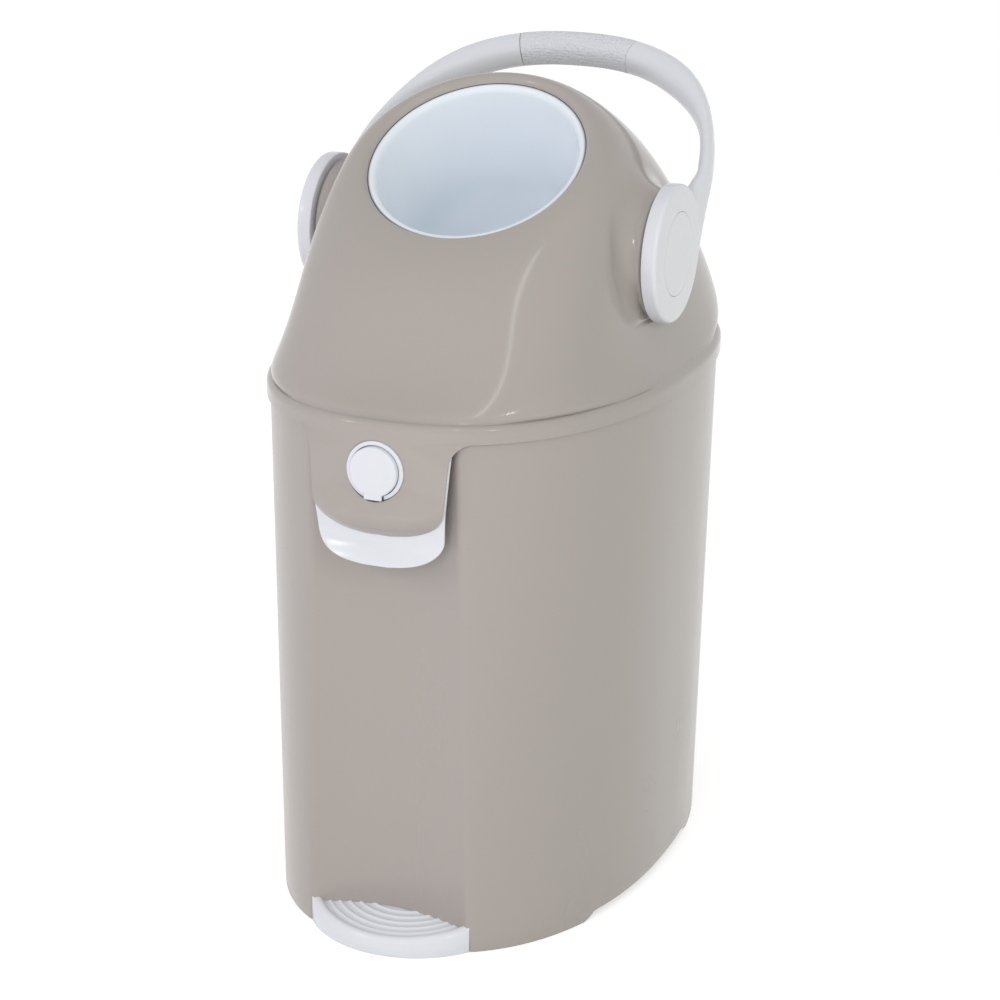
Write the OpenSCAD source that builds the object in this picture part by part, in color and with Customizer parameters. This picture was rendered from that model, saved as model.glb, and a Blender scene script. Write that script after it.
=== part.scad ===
// Nappy bin with a flip-over drum: a tall oval pail, a hinged domed lid and a carrying
// handle that is keyed to a round drum.  Lifting the handle forward turns the drum, and
// its bowl tips the nappy down into the pail while the back of the drum closes the mouth.
// Frame: origin on the floor below the middle, +Z up, -Y to the front, +X to the right.

/* [Pail] */
// Width of the pail across its rim
pail_w = 300; // [280:1:320]
// Front to back length of the pail at its rim
pail_len = 456; // [440:1:470]
// How much narrower the pail is at its base
pail_taper_w = 12.4; // [8:0.2:18]
// How much shorter the pail is at its base
pail_taper_len = 10; // [6:0.5:14]
// Height of the seam under the lid
seam_z = 391; // [370:1:410]
// Height of the pail rim above the seam
rim_h = 6.5; // [5:0.5:8]
// Thickness of the pail wall
pail_wall = 2.6; // [2:0.1:3.4]
// Roundness of the plan, where 2 is a plain oval
plan_n = 2.27; // [2.1:0.01:2.5]
// Half width of the front channel at the base
channel_half_base = 63.6; // [58:0.2:66]
// Half width of the front channel at the rim
channel_half_top = 56.2; // [54:0.2:60]
// Depth of the front channel behind its corners
channel_dip = 12; // [9:0.5:14]
// Height of the raised edge between the feet
skirt_relief = 5.5; // [3:0.5:7]

/* [Foot rest] */
// Height of the foot rest at its corners
foot_h = 20; // [16:0.5:24]
// How far the foot rest stands out in front of the channel corners
foot_reach = 31; // [26:0.5:34]
// Drop of the foot rest top from its corners to its front edge
foot_drop = 6; // [4:0.5:8]
// Pitch of the curved grip ribs
foot_rib_pitch = 6.4; // [5.5:0.1:7.5]

/* [Lid] */
// How far the lid band stands out past the pail rim
lid_overhang = 2.7; // [2:0.1:3.5]
// Wall of the lid
lid_wall = 2.4; // [2:0.1:2.8]
// Height of the upright band of the lid
band_h = 13.5; // [12:0.5:16]
// Height of the drum axle above the floor
axle_z = 491.5; // [488:0.5:496]
// Place of the drum axle, front to back
axle_y = -17; // [-20:0.5:-14]
// Forward tilt of the mouth
mouth_tilt = 34; // [30:1:36]
// Radius of the mouth
mouth_r = 81; // [78:0.5:83]
// Outer radius of the shoulder bosses
boss_r = 47; // [44:0.5:49]
// How far the boss faces lie inside the widest part of the pail
boss_inset = 21; // [20:0.5:23]

/* [Apron] */
// Half width of the apron
apron_half_w = 50; // [46:0.5:53]
// Height of the lowest point of the apron
apron_z = 316; // [310:1:322]
// Depth of the lift tab below the apron
tab_drop = 19; // [14:0.5:22]
// Height of the middle of the button
button_z = 368.5; // [364:0.5:372]
// Radius of the button
button_r = 18.4; // [16:0.1:19]
// Travel of the button
button_travel = 4; // [3:0.1:4.2]

/* [Drum] */
// Radius of the drum
drum_r = 112; // [110:0.5:113]
// Wall of the drum and of its bowl
drum_wall = 2.5; // [2:0.1:3]
// Radius of the rounded bottom of the bowl
bowl_bottom_r = 68; // [62:0.5:70]
// Radius of the stub shafts
shaft_r = 10; // [8:0.5:11]

/* [Handle] */
// Backward lean of the handle from upright
handle_lean = 55; // [50:1:58]
// Reach of the grip from the axle
handle_reach = 203; // [198:1:208]
// Radius of the hub discs
hub_r = 51.5; // [49:0.5:53]
// Thickness of the hub discs
hub_t = 10.6; // [9:0.2:12]
// Thickness of the grip
grip_t = 22; // [19:0.5:24]
// Length of the grip sleeve
grip_len = 94; // [70:1:100]

/* [Hinge] */
// Distance of the hinge pin behind the pail rim
hinge_back = 8.5; // [8:0.1:9.5]
// Drop of the hinge pin below the seam
hinge_drop = 3; // [2.5:0.1:4]
// Radius of the hinge pin
hinge_pin_r = 2.5; // [2:0.1:2.8]

/* [Clearances] */
// Gap between curved faces that move past each other
run_gap = 0.3; // [0.3:0.05:0.5]
// Radial gap of a shaft or pin in its bore
fit_gap = 0.05; // [0.02:0.01:0.08]

/* [Hidden] */

$fn = 96;
shell_steps = 64;          // points round each ring of the lid and band
body_steps = 64;           // points round the pail, less its channel
channel_steps = 14;        // points across the channel

taupe = [0.69, 0.66, 0.63];
white = [0.93, 0.94, 0.96];
grey = [0.45, 0.45, 0.46];
steel = [0.75, 0.76, 0.78];

// ---- small helpers -------------------------------------------------------------------
function spow(v, e) = sign(v) * pow(abs(v), e);
function mix(a, b, t) = a + (b - a) * t;
function bez(p, t) = pow(1 - t, 3) * p[0] + 3 * pow(1 - t, 2) * t * p[1]
                   + 3 * (1 - t) * t * t * p[2] + pow(t, 3) * p[3];
function bez_d(p, t) = 3 * pow(1 - t, 2) * (p[1] - p[0]) + 6 * (1 - t) * t * (p[2] - p[1])
                     + 3 * t * t * (p[3] - p[2]);
function unit(v) = v / norm(v);

// A solid through rings of equal length: closed by flat ends, or joined into a torus
module loft(rings, torus = false) {
    count = len(rings[0]);
    last = len(rings) - 1;
    points = [for (r = rings) for (p = r) p];
    walls = [for (i = [0 : torus ? last : last - 1], j = [0 : count - 1])
             let (a = i * count, b = ((i + 1) % (last + 1)) * count, k = (j + 1) % count)
             [a + j, b + j, b + k, a + k]];
    ends = torus ? [] : [[for (j = [0 : count - 1]) j],
                         [for (j = [count - 1 : -1 : 0]) last * count + j]];
    polyhedron(points, concat(walls, ends), convexity = 8);
}

// ---- pail plan -----------------------------------------------------------------------
rim_z = seam_z + rim_h;
plan_shift_top = -4.5;     // how far the middle of the rim lies forward of the origin
plan_shift_base = -1;      // the same at the base
rim_step = 1.6;            // how far the rim steps in under the lid band

function level(z) = z / seam_z;
function half_w(z) = pail_w / 2 - pail_taper_w / 2 * (1 - level(z));
function half_len(z) = pail_len / 2 - pail_taper_len / 2 * (1 - level(z));
function shift_y(z) = mix(plan_shift_base, plan_shift_top, level(z));
function channel_half(z) = mix(channel_half_base, channel_half_top, level(z));
function plan_y(x, a, b, yc) = yc - b * pow(1 - pow(abs(x) / a, plan_n), 1 / plan_n);
function pail_rear(x, z) = 2 * shift_y(z) - plan_y(x, half_w(z), half_len(z), shift_y(z));

// One level of the pail, stepped in by inset, with its channel in front
function pail_ring(z, inset) =
    let (a = half_w(z) - inset, b = half_len(z) - inset, yc = shift_y(z),
         xc = channel_half(z) + inset * 0.7,
         yk = plan_y(xc, a, b, yc),
         y_mid = plan_y(channel_half(z), half_w(z), half_len(z), yc) + channel_dip + inset,
         t0 = acos(pow(xc / a, plan_n / 2)))
    concat(
        [for (i = [0 : body_steps])
         let (t = mix(-t0, 180 + t0, i / body_steps))
         [a * spow(cos(t), 2 / plan_n), yc + b * spow(sin(t), 2 / plan_n), z]],
        [for (i = [1 : channel_steps - 1])
         let (s = 2 * i / channel_steps - 1)
         [xc * s, mix(yk, y_mid, 1 - s * s), z]]);

// Face of the channel in the middle plane
function channel_y(z) = plan_y(channel_half(z), half_w(z), half_len(z), shift_y(z))
                      + channel_dip;

// ---- lid plan and profiles -------------------------------------------------------------
band_a = pail_w / 2 + lid_overhang;
band_b = pail_len / 2 + lid_overhang;
band_front = plan_shift_top - band_b;
band_rear = plan_shift_top + band_b;
band_base_z = seam_z + 0.5;
band_top_z = seam_z + band_h;
band_round = 3;

// A ring of the lid: front and rear points in the middle plane, half width and roundness
function lid_ring(f, r, a, n) =
    let (m = (f + r) / 2, h = (r - f) / 2)
    [for (i = [0 : shell_steps - 1])
     let (t = 360 * i / shell_steps, s = spow(sin(t), 2 / n))
     [a * spow(cos(t), 2 / n), m[0] + h[0] * s, m[1] + h[1] * s]];
function band_ring(z, inset) =
    lid_ring([band_front + inset, z], [band_rear - inset, z], band_a - inset, plan_n);

// Mouth of the lid, in the frame of its tilt
axle = [axle_y, axle_z];
mouth_n = [-sin(mouth_tilt), cos(mouth_tilt)];
mouth_t = [cos(mouth_tilt), sin(mouth_tilt)];
mouth_h = sqrt(pow(drum_r + 1.8, 2) - pow(mouth_r, 2));
lip_w = 7;
function mouth_ring(r, h) =
    lid_ring(axle + h * mouth_n - r * mouth_t, axle + h * mouth_n + r * mouth_t, r, 2);

// Profiles of the dome from the band up to the lip
dome_start = band_round + 1.2;
lip_r = lip_w / 2;
lip_h = mouth_h - 1;
crown_r = mouth_r + lip_r; // radius and height of the crown of the lip
crown_h = lip_h + lip_r;
front_end = axle + crown_h * mouth_n - crown_r * mouth_t;
rear_end = axle + crown_h * mouth_n + crown_r * mouth_t;
front_start = [band_front + dome_start, band_top_z];
rear_start = [band_rear - dome_start, band_top_z];
side_start = band_a - dome_start;
front_bez = [front_start, front_start + [54, 47], front_end - 79 * mouth_t, front_end];
rear_bez = [rear_start, rear_start + [9, 50], rear_end + 17 * mouth_t, rear_end];
side_bez = [side_start, side_start - 38, crown_r + 37.5, crown_r];
dome_square = 1.17;        // how much squarer the dome's plan is halfway up

function off_front(t, g) = let (d = unit(bez_d(front_bez, t))) bez(front_bez, t) + g * [d[1], -d[0]];
function off_rear(t, g) = let (d = unit(bez_d(rear_bez, t))) bez(rear_bez, t) + g * [-d[1], d[0]];
function dome_n(t) = mix(plan_n, 2, t) + dome_square * 4 * t * (1 - t);
function dome_ring(t, g) =
    lid_ring(off_front(t, g), off_rear(t, g), bez(side_bez, t) - g, dome_n(t));

dome_levels = 9;
lip_flat_h = mouth_h - 1.8;
function dome_outer() = concat(
    [band_ring(band_base_z, 0), band_ring(band_top_z - band_round, 0)],
    [for (q = [30, 60, 90]) band_ring(band_top_z - band_round * (1 - sin(q)),
                                      band_round * (1 - cos(q)))],
    [for (i = [0 : dome_levels]) dome_ring(i / dome_levels, 0)],
    [for (q = [110 : 20 : 150]) mouth_ring(mouth_r + lip_r * (1 + cos(q)), lip_h + lip_r * sin(q))]);
function dome_inner() = concat(
    [mouth_ring(mouth_r, mouth_h - 0.5), mouth_ring(mouth_r + 0.8, lip_flat_h),
     mouth_ring(mouth_r + 5.2, lip_flat_h)],
    [for (i = [dome_levels - 1 : -1 : 0]) dome_ring(i / dome_levels, lid_wall)],
    [band_ring(band_top_z - lid_wall, lid_wall), band_ring(band_base_z, lid_wall)]);

// Places a child that was made along +Z on the tilted mouth axis
module on_mouth_axis() translate([0, axle_y, axle_z]) rotate([mouth_tilt, 0, 0]) children();
// Places a child that was made along +Z on the axle, pointing to the right or the left
module on_axle(side) translate([0, axle_y, axle_z]) rotate([0, 90 * side, 0]) children();

// ---- hinge ---------------------------------------------------------------------------
hinge_y = shift_y(seam_z) + pail_len / 2 + hinge_back;
hinge_z = seam_z - hinge_drop;
lug_r = hinge_pin_r + 3;
knuckle_half = 22;         // half length of the lid's knuckle
lug_w = 10;
lug_drop = 22;             // how far the foot of a lug lies below the pin
lug_gap = 0.5;
knuckle_root = 1.9;        // how deep the knuckle roots in the lid wall
module along_hinge(x0, x1, r)
    translate([x0, hinge_y, hinge_z]) rotate([0, 90, 0]) cylinder(r = r, h = x1 - x0);

// ---- pail ----------------------------------------------------------------------------
floor_z = 9;
foot_pad_r = 9;
foot_pads = [[92, 150], [-92, 150], [96, -134], [-96, -134]];

module pail_shell() {
    loft([pail_ring(floor_z, pail_wall), pail_ring(0, pail_wall), pail_ring(0, 0),
          pail_ring(seam_z, 0), pail_ring(seam_z, rim_step), pail_ring(rim_z, rim_step),
          pail_ring(rim_z, pail_wall + rim_step), pail_ring(seam_z - 6, pail_wall),
          pail_ring(floor_z + pail_wall, pail_wall)]);
}

// Wedge that lifts the skirt off the floor between the front and rear feet
module skirt_cut(side) {
    translate([side * pail_w / 2 - 34, 0, 0]) rotate([90, 0, 90]) linear_extrude(68)
        polygon([[-128, -1], [-118, skirt_relief], [48, skirt_relief], [62, -1]]);
}

// Stiffening ribs under the floor
module floor_ribs() {
    for (y = [-120 : 60 : 120]) translate([-90, y - 1, 4]) cube([180, 2, floor_z - 3.5]);
    translate([-1, -150, 4]) cube([2, 300, floor_z - 3.5]);
}

module pail_lug(side) {
    x0 = side > 0 ? knuckle_half + lug_gap : -knuckle_half - lug_gap - lug_w;
    y_wall = pail_rear(knuckle_half + lug_gap + lug_w, seam_z) - 1.5;
    along_hinge(x0, x0 + lug_w, lug_r);
    translate([x0, 0, hinge_z]) rotate([90, 0, 90]) linear_extrude(lug_w)
        polygon([[y_wall, -lug_drop], [y_wall + 2, -lug_drop], [hinge_y + lug_r * 0.8, -lug_r * 0.6],
                 [hinge_y, 0], [y_wall, 0]]);
}

module pail_body() {
    color(taupe) difference() {
        union() {
            pail_shell();
            for (p = foot_pads) translate([p[0], p[1], 0]) cylinder(r = foot_pad_r, h = floor_z + 1);
            for (side = [-1, 1]) pail_lug(side);
            floor_ribs();
        }
        for (side = [-1, 1]) skirt_cut(side);
        along_hinge(-knuckle_half - lug_w - 5, knuckle_half + lug_w + 5, hinge_pin_r);
        for (x = foot_screw_x) foot_screw_axis(x) cylinder(r = screw_r + 0.3, h = 30, center = true);
        translate([-keeper_w / 2, channel_y(keeper_z) - 8, keeper_z - keeper_h / 2])
            cube([keeper_w, 20, keeper_h]);
    }
}

// ---- foot rest -----------------------------------------------------------------------
screw_r = 1.5;
screw_head_r = 3.2;
screw_head_h = 1.8;
foot_corner_y = plan_y(channel_half(0), half_w(0), half_len(0), shift_y(0));
foot_arc_r = (pow(channel_half_base, 2) + pow(foot_reach, 2)) / (2 * foot_reach);
foot_front_y = foot_corner_y - foot_reach;
foot_wall = 2.4;
foot_slope = atan(foot_drop / foot_reach);
foot_rib_count = 5;
dish_depth = 2.2;
foot_screw_x = [-15, 15];
foot_screw_z = 15.2;
foot_screw_len = 13;

module foot_screw_axis(x)
    translate([x, channel_y(foot_screw_z) + pail_wall, foot_screw_z]) rotate([90, 0, 0]) children();

module foot_plan(inset) {
    ring = pail_ring(foot_h, -0.1 - inset);
    difference() {
        translate([0, foot_front_y + foot_arc_r]) circle(r = foot_arc_r - inset, $fn = 128);
        polygon([for (p = ring) [p[0], p[1]]]);
        translate([-pail_w, foot_corner_y + channel_dip + 4]) square([2 * pail_w, pail_len]);
    }
}

// Places a child on the sloping top, at the centre of the front arc
module on_foot_top() {
    translate([0, foot_front_y, foot_h - foot_drop]) rotate([foot_slope, 0, 0])
        translate([0, foot_arc_r, 0]) children();
}

// Dish of the foot rest, with its curved ribs left standing, as a profile to be spun
function dish_profile() =
    let (r0 = foot_arc_r - 6, rib_r = [for (i = [1 : foot_rib_count]) r0 - foot_rib_pitch * (i - 0.4)])
    concat([[20, 12], [r0 + 1, 12], [r0, 1], [r0 - 1.4, -dish_depth]],
           [for (r = rib_r) each [[r + 1.1, -dish_depth], [r + 0.6, 0.8 - dish_depth],
                                  [r - 0.6, 0.8 - dish_depth], [r - 1.1, -dish_depth]]],
           [[20, -dish_depth]]);

module foot_block() {
    difference() {
        linear_extrude(foot_h) foot_plan(0);
        on_foot_top() translate([-pail_w / 2, -foot_arc_r - 10, 0])
            cube([pail_w, foot_reach / cos(foot_slope) + 10, 2 * foot_h]);
    }
}

module foot_dish() {
    on_foot_top() intersection() {
        rotate_extrude($fn = 128) polygon(dish_profile());
        translate([-pail_w / 3, -foot_arc_r, -foot_h]) cube([pail_w * 2 / 3, foot_reach + 4, 3 * foot_h]);
    }
}

// Hollow under the foot rest, less the posts that its screws bite into
module foot_pocket() {
    translate([0, 0, -1]) linear_extrude(foot_h - foot_drop - 4.6 + 1) difference() {
        foot_plan(foot_wall);
        for (x = foot_screw_x) translate([x - 4.5, foot_corner_y - 2]) square([9, 30]);
    }
}

module foot_rest() {
    color(white) difference() {
        difference() {
            foot_block();
            foot_dish();
        }
        foot_pocket();
        for (x = foot_screw_x) foot_screw_axis(x) cylinder(r = screw_r, h = foot_screw_len + 0.5);
    }
}

module foot_screws() {
    color(steel) for (x = foot_screw_x) foot_screw_axis(x) {
        cylinder(r = screw_r, h = foot_screw_len);
        translate([0, 0, -screw_head_h]) cylinder(r = screw_head_r, h = screw_head_h);
    }
}

// ---- latch keeper --------------------------------------------------------------------
hook_drop = 14.5;          // distance of the hook pin below the middle of the button
keeper_w = 22;
keeper_h = 15;
keeper_z = button_z - hook_drop - 11;
keeper_out = 3.2;
keeper_ledge = 3;          // height of the ledge that the hook catches under

module latch_keeper() {
    y0 = channel_y(keeper_z);
    color(white) difference() {
        union() {
            translate([-keeper_w / 2, y0 - keeper_out, keeper_z - keeper_h / 2])
                cube([keeper_w, keeper_out + pail_wall + 1.7, keeper_h]);
            translate([-keeper_w / 2 - 3, y0 + pail_wall + 0.5, keeper_z - keeper_h / 2 - 3])
                cube([keeper_w + 6, 1.8, keeper_h + 6]);
        }
        translate([-8, y0 - keeper_out - 1, keeper_z - keeper_h / 2 + 2])
            cube([16, keeper_out + 3.4, keeper_h - keeper_ledge - 2]);
    }
}

// ---- hinge pin -----------------------------------------------------------------------
module hinge_pin() {
    color(steel) {
        along_hinge(-knuckle_half - lug_gap - lug_w, knuckle_half + lug_gap + lug_w, hinge_pin_r);
        for (side = [-1, 1]) translate([side * (knuckle_half + lug_gap + lug_w + 0.6), 0, 0])
            along_hinge(-0.6, 0.6, hinge_pin_r + 0.8);
    }
}

// ---- lid dome ------------------------------------------------------------------------
boss_wall = 3;
boss_x = pail_w / 2 - boss_inset;
drum_flat_x = drum_r - 8;  // distance of the drum's flat sides from the middle
boss_in_x = drum_flat_x - 0.5;
bush_wall = 3;
bush_r = shaft_r + fit_gap + bush_wall;
bush_in_x = drum_flat_x + 9;
bush_tube_r = bush_r + 3.5;

module dome_shell() { loft(concat(dome_outer(), dome_inner()), torus = true); }

// Outline of the apron or tab: a rounded tongue, with its upper corners swept outwards
function tongue(half, low, high, curve_h, sweep) =
    let (p = 2.2, n = 20)
    concat(
        [for (q = [0 : 15 : 90]) [half + sweep * (1 - cos(q)), high - sweep + sweep * sin(q)]],
        [[half + sweep, high + 6], [-half - sweep, high + 6]],
        [for (q = [90 : -15 : 0]) [-half - sweep * (1 - cos(q)), high - sweep + sweep * sin(q)]],
        [for (i = [0 : n]) let (x = half * sin(mix(-90, 90, i / n)))
         [x, low + curve_h * (1 - pow(1 - pow(abs(x) / half, p), 1 / p))]]);
module front_prism(points)
    translate([0, -pail_len / 4, 0]) rotate([90, 0, 0]) linear_extrude(pail_len / 3) polygon(points);

// A curved sheet hanging from the band: rows of height, half width and inset from the band
apron_sweep = 20;          // how far the upper corners of the apron sweep outwards
sheet_half = apron_half_w + apron_sweep + 14;
sheet_steps = 14;
function sheet_arc(row, extra) =
    [for (i = [0 : sheet_steps]) let (x = mix(-sheet_half, sheet_half, i / sheet_steps))
     [x, plan_y(x, row[1] - extra, band_b - row[2] - extra, plan_shift_top), row[0]]];
function sheet_ring(row, wall) =
    let (out = sheet_arc(row, 0), back = sheet_arc(row, wall))
    concat(out, [for (i = [sheet_steps : -1 : 0]) back[i]]);
module sheet(rows, wall) {
    loft([for (i = [len(rows) - 1 : -1 : 0]) sheet_ring(rows[i], wall)]);
}

apron_tuck = 1;            // how far the apron's root lies behind the face of the band
apron_flat = 52.3;         // how much wider the apron's own curve runs than that of the band
apron_fade = 13;           // drop over which the apron leaves the curve of the band
apron_swell = 1.6;         // how far the apron swells between the button and its lower edge
function apron_a(z) = band_a + apron_flat * (1 - exp(-max(band_base_z - z, 0) / apron_fade));
function apron_row(z, inset) = [z, apron_a(z), inset];
apron_rows = [
    [band_base_z + 8, band_a - apron_tuck, apron_tuck],
    [band_base_z + 1, band_a - apron_tuck, apron_tuck],
    apron_row(band_base_z - 0.5, 0), apron_row(band_base_z - 8, 0), apron_row(button_z + 8, 0),
    apron_row(button_z - 8, -apron_swell / 2), apron_row(apron_z + 27, -apron_swell),
    apron_row(apron_z + 15, -apron_swell / 2), apron_row(apron_z + 6, 1.8), apron_row(apron_z - 3, 5.2)];
module apron() {
    intersection() {
        sheet(apron_rows, lid_wall);
        front_prism(tongue(apron_half_w, apron_z, band_base_z, 38, apron_sweep));
    }
}

// Posts that the frame screws bite into, each standing just inside the slope of the dome
frame_post_r = 4.5;
frame_screw_bite = 4;      // depth of a frame screw in its post
frame_post_level = 0.14;
frame_post_angles = [-52, -10, 40, 90, 140, 190, 232];
function frame_post(angle) =
    let (k = round(angle / 360 * shell_steps + shell_steps) % shell_steps,
         p = dome_ring(frame_post_level, 0.6)[k], q = dome_ring(frame_post_level, 6)[k],
         d = unit([q[0] - p[0], q[1] - p[1]]))
    [p[0] + d[0] * frame_post_r, p[1] + d[1] * frame_post_r, p[2]];
frame_posts = [for (a = frame_post_angles) frame_post(a)];
module frame_post_bodies() {
    for (p = frame_posts) translate([p[0], p[1], frame_top]) difference() {
        cylinder(r = frame_post_r, h = p[2] - frame_top);
        translate([0, 0, -1]) cylinder(r = screw_r, h = frame_screw_bite + 1.5);
    }
}

// A shoulder boss, with a hollow fillet that blends it into the flank of the dome
boss_bore = 14;            // how far the hollow cuts inwards past the boss
boss_foot = 9;             // how far the foot of the fillet stands out from the boss
boss_edge = 2;
module boss_solid(side) {
    blend_x = boss_x - 5;
    on_axle(side) rotate_extrude() polygon(concat(
        [[0, boss_in_x], [boss_r + boss_foot, boss_in_x]],
        [for (q = [0 : 30 : 90])
         [boss_r + boss_foot * (1 - sin(q)), mix(boss_in_x + 2, blend_x, 1 - cos(q))]],
        [[boss_r, boss_x - boss_edge], [boss_r - boss_edge, boss_x], [0, boss_x]]));
}

// The hollow of a boss, which leaves the tube that its bush sits in
module boss_hollow(side) {
    on_axle(side) rotate_extrude() polygon([
        [0, boss_in_x - boss_bore], [boss_r - boss_wall, boss_in_x - boss_bore],
        [boss_r - boss_wall, boss_x - boss_wall],
        [bush_tube_r, boss_x - boss_wall], [bush_tube_r, bush_in_x], [bush_r, bush_in_x],
        [bush_r, boss_x + 1], [0, boss_x + 1]]);
}

// The apron, thickened behind the button and drilled for the bezel and the tab screws
pad_t = 1.6;
module drilled_apron() {
    difference() {
        union() {
            apron();
            on_button() translate([0, 0, -lid_wall - pad_t])
                cylinder(r = bezel_tube_r + 4, h = lid_wall + pad_t);
        }
        on_button() translate([0, 0, -30]) cylinder(r = bezel_tube_r + 0.1, h = 60);
        on_button() cylinder(r = bezel_r + 0.3, h = 20);
        for (p = tab_screws_at) tab_screw_axis(p) cylinder(r = screw_r, h = tab_screw_len + 0.2);
    }
}

module lid_knuckle() {
    root = -hinge_back + lid_overhang - knuckle_root;
    difference() {
        union() {
            along_hinge(-knuckle_half, knuckle_half, lug_r - 0.3);
            translate([-knuckle_half, hinge_y, hinge_z]) rotate([90, 0, 90])
                linear_extrude(2 * knuckle_half)
                polygon([[root, hinge_drop + 0.8], [root, hinge_drop + 10], [lug_r * 0.6, lug_r * 0.7],
                         [-lug_r + 1, 0.4]]);
        }
        along_hinge(-knuckle_half - 1, knuckle_half + 1, hinge_pin_r + fit_gap);
    }
}

module lid_dome() {
    color(taupe) difference() {
        union() {
            dome_shell();
            drilled_apron();
            lid_knuckle();
            frame_post_bodies();
            for (side = [-1, 1]) boss_solid(side);
        }
        for (side = [-1, 1]) boss_hollow(side);
    }
}

// ---- lid frame, screws and seals -----------------------------------------------------
gasket_t = 1.8;
frame_t = 2.4;
frame_z = rim_z + run_gap + gasket_t;
frame_top = frame_z + frame_t;
hug_h = min(axle_z - frame_top - 10, 0.71 * drum_r); // how far the chute's top lies below the axle
chute_r = sqrt(pow(drum_r + run_gap, 2) - hug_h * hug_h) + 2.7;
collar_t = 2.6;
collar_h = axle_z - frame_top - hug_h;
web_end = 123;             // distance of the ends of the frame's ribs from the axle
seal_h = 4;

module frame_plan(inset) polygon([for (p = pail_ring(rim_z, rim_step + inset)) [p[0], p[1]]]);

module lid_frame() {
    color(white) difference() {
        union() {
            translate([0, 0, frame_z]) linear_extrude(frame_t) frame_plan(0);
            translate([0, axle_y, frame_z]) cylinder(r = chute_r + collar_t, h = collar_h + frame_t);
            frame_webs();
        }
        translate([0, axle_y, frame_z - 1]) cylinder(r = chute_r, h = collar_h + frame_t + 2);
        for (p = frame_posts) translate([p[0], p[1], frame_z - 1])
            cylinder(r = screw_r + 0.3, h = frame_t + 2);
    }
}

// Low ribs that stiffen the frame from the chute outwards
module frame_webs() {
    for (t = [20, 160, 60, 120, 90]) translate([0, axle_y, frame_top]) rotate([0, 0, t])
        translate([chute_r + 1, -1, -0.5]) cube([web_end - chute_r - 1, 2, 5]);
}

module frame_screws() {
    color(steel) for (p = frame_posts) translate([p[0], p[1], frame_z]) {
        translate([0, 0, -screw_head_h]) cylinder(r = screw_head_r, h = screw_head_h);
        cylinder(r = screw_r, h = frame_t + frame_screw_bite);
    }
}

module rim_gasket() {
    color(grey) translate([0, 0, frame_z - gasket_t]) linear_extrude(gasket_t) difference() {
        frame_plan(0);
        frame_plan(pail_wall);
    }
}

// A ring that hugs the drum between two heights above its middle
module hug_ring(h0, h1, out0, out1) {
    r = drum_r + run_gap;
    rotate_extrude() polygon(concat(
        [for (i = [0 : 6]) let (h = mix(h0, h1, i / 6)) [sqrt(r * r - h * h), h]],
        [[out1, h1], [out0, h0]]));
}

module mouth_seal() {
    color(grey) on_mouth_axis() hug_ring(lip_flat_h - seal_h, lip_flat_h, mouth_r + 6.6, mouth_r + 4.6);
}
module chute_seal() {
    color(grey) translate([0, axle_y, axle_z]) mirror([0, 0, 1])
        hug_ring(hug_h - seal_h, hug_h, chute_r + collar_t + 1.2, chute_r + collar_t);
}

module bush(side) {
    color(grey) on_axle(side) translate([0, 0, bush_in_x]) difference() {
        union() {
            cylinder(r = bush_r, h = boss_x - bush_in_x);
            translate([0, 0, -1.5]) cylinder(r = bush_r + 2.5, h = 1.5);
        }
        translate([0, 0, -3]) cylinder(r = shaft_r + fit_gap, h = 60);
    }
}
module bush_right() bush(1);
module bush_left() bush(-1);

// ---- lift tab and latch --------------------------------------------------------------
bezel_r = button_r + 3.6;
bezel_tube_r = button_r + 1.9;
bezel_t = 2.2;
apron_seat_y = band_front + 1.2;
cup_depth = 10.5;
cup_floor = 1.5;
stem_r = 3;
hook_z = button_z - hook_drop;
hook_y = apron_seat_y + cup_depth + cup_floor + 5;
pin_r = 1.5;
ear_x = 9;
ear_t = 3;

// Places a child made along +Z at the button, pointing out to the front
module on_button() translate([0, apron_seat_y, button_z]) rotate([90, 0, 0]) children();

tab_half_w = apron_half_w + 0.4;
tab_z = apron_z - tab_drop;
tab_t = 2.2;
tab_in = lid_wall + 0.25;  // inset of the tab plate, just behind the apron
tab_rows = concat(
    [for (i = [3 : len(apron_rows) - 1]) apron_rows[i] + [0, -tab_in, tab_in]],
    [apron_row(tab_z + 10, tab_in + 3.6), apron_row(tab_z + 4, tab_in + 0.8), apron_row(tab_z - 1, -0.6)]);
tab_screws_at = [[-34, button_z + 4], [34, button_z + 4]];
tab_screw_len = 3.2;
tab_screw_y = plan_y(tab_screws_at[1][0], apron_a(tab_screws_at[1][1]) - tab_in, band_b - tab_in,
                     plan_shift_top) + pad_t;
module tab_screw_axis(p) translate([p[0], tab_screw_y, p[1]]) rotate([90, 0, 0]) children();

module lift_tab() {
    color(white) difference() {
        intersection() {
            sheet(tab_rows, tab_t);
            front_prism(tongue(tab_half_w, tab_z, band_base_z - 8, 34, 0.5));
            translate([-sheet_half, -pail_len, 0]) cube([2 * sheet_half, pail_len, apron_rows[3][0] - 0.5]);
        }
        on_button() translate([0, 0, -30]) cylinder(r = bezel_tube_r + 4.4, h = 60);
        for (p = tab_screws_at) tab_screw_axis(p) {
            cylinder(r = screw_r + 0.2, h = 20);
            translate([0, 0, -10]) cylinder(r = screw_head_r + 0.3, h = 10);
        }
    }
}

module tab_screws() {
    color(steel) for (p = tab_screws_at) tab_screw_axis(p) {
        translate([0, 0, -screw_head_h]) cylinder(r = screw_head_r, h = screw_head_h);
        cylinder(r = screw_r, h = tab_screw_len);
    }
}

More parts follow.
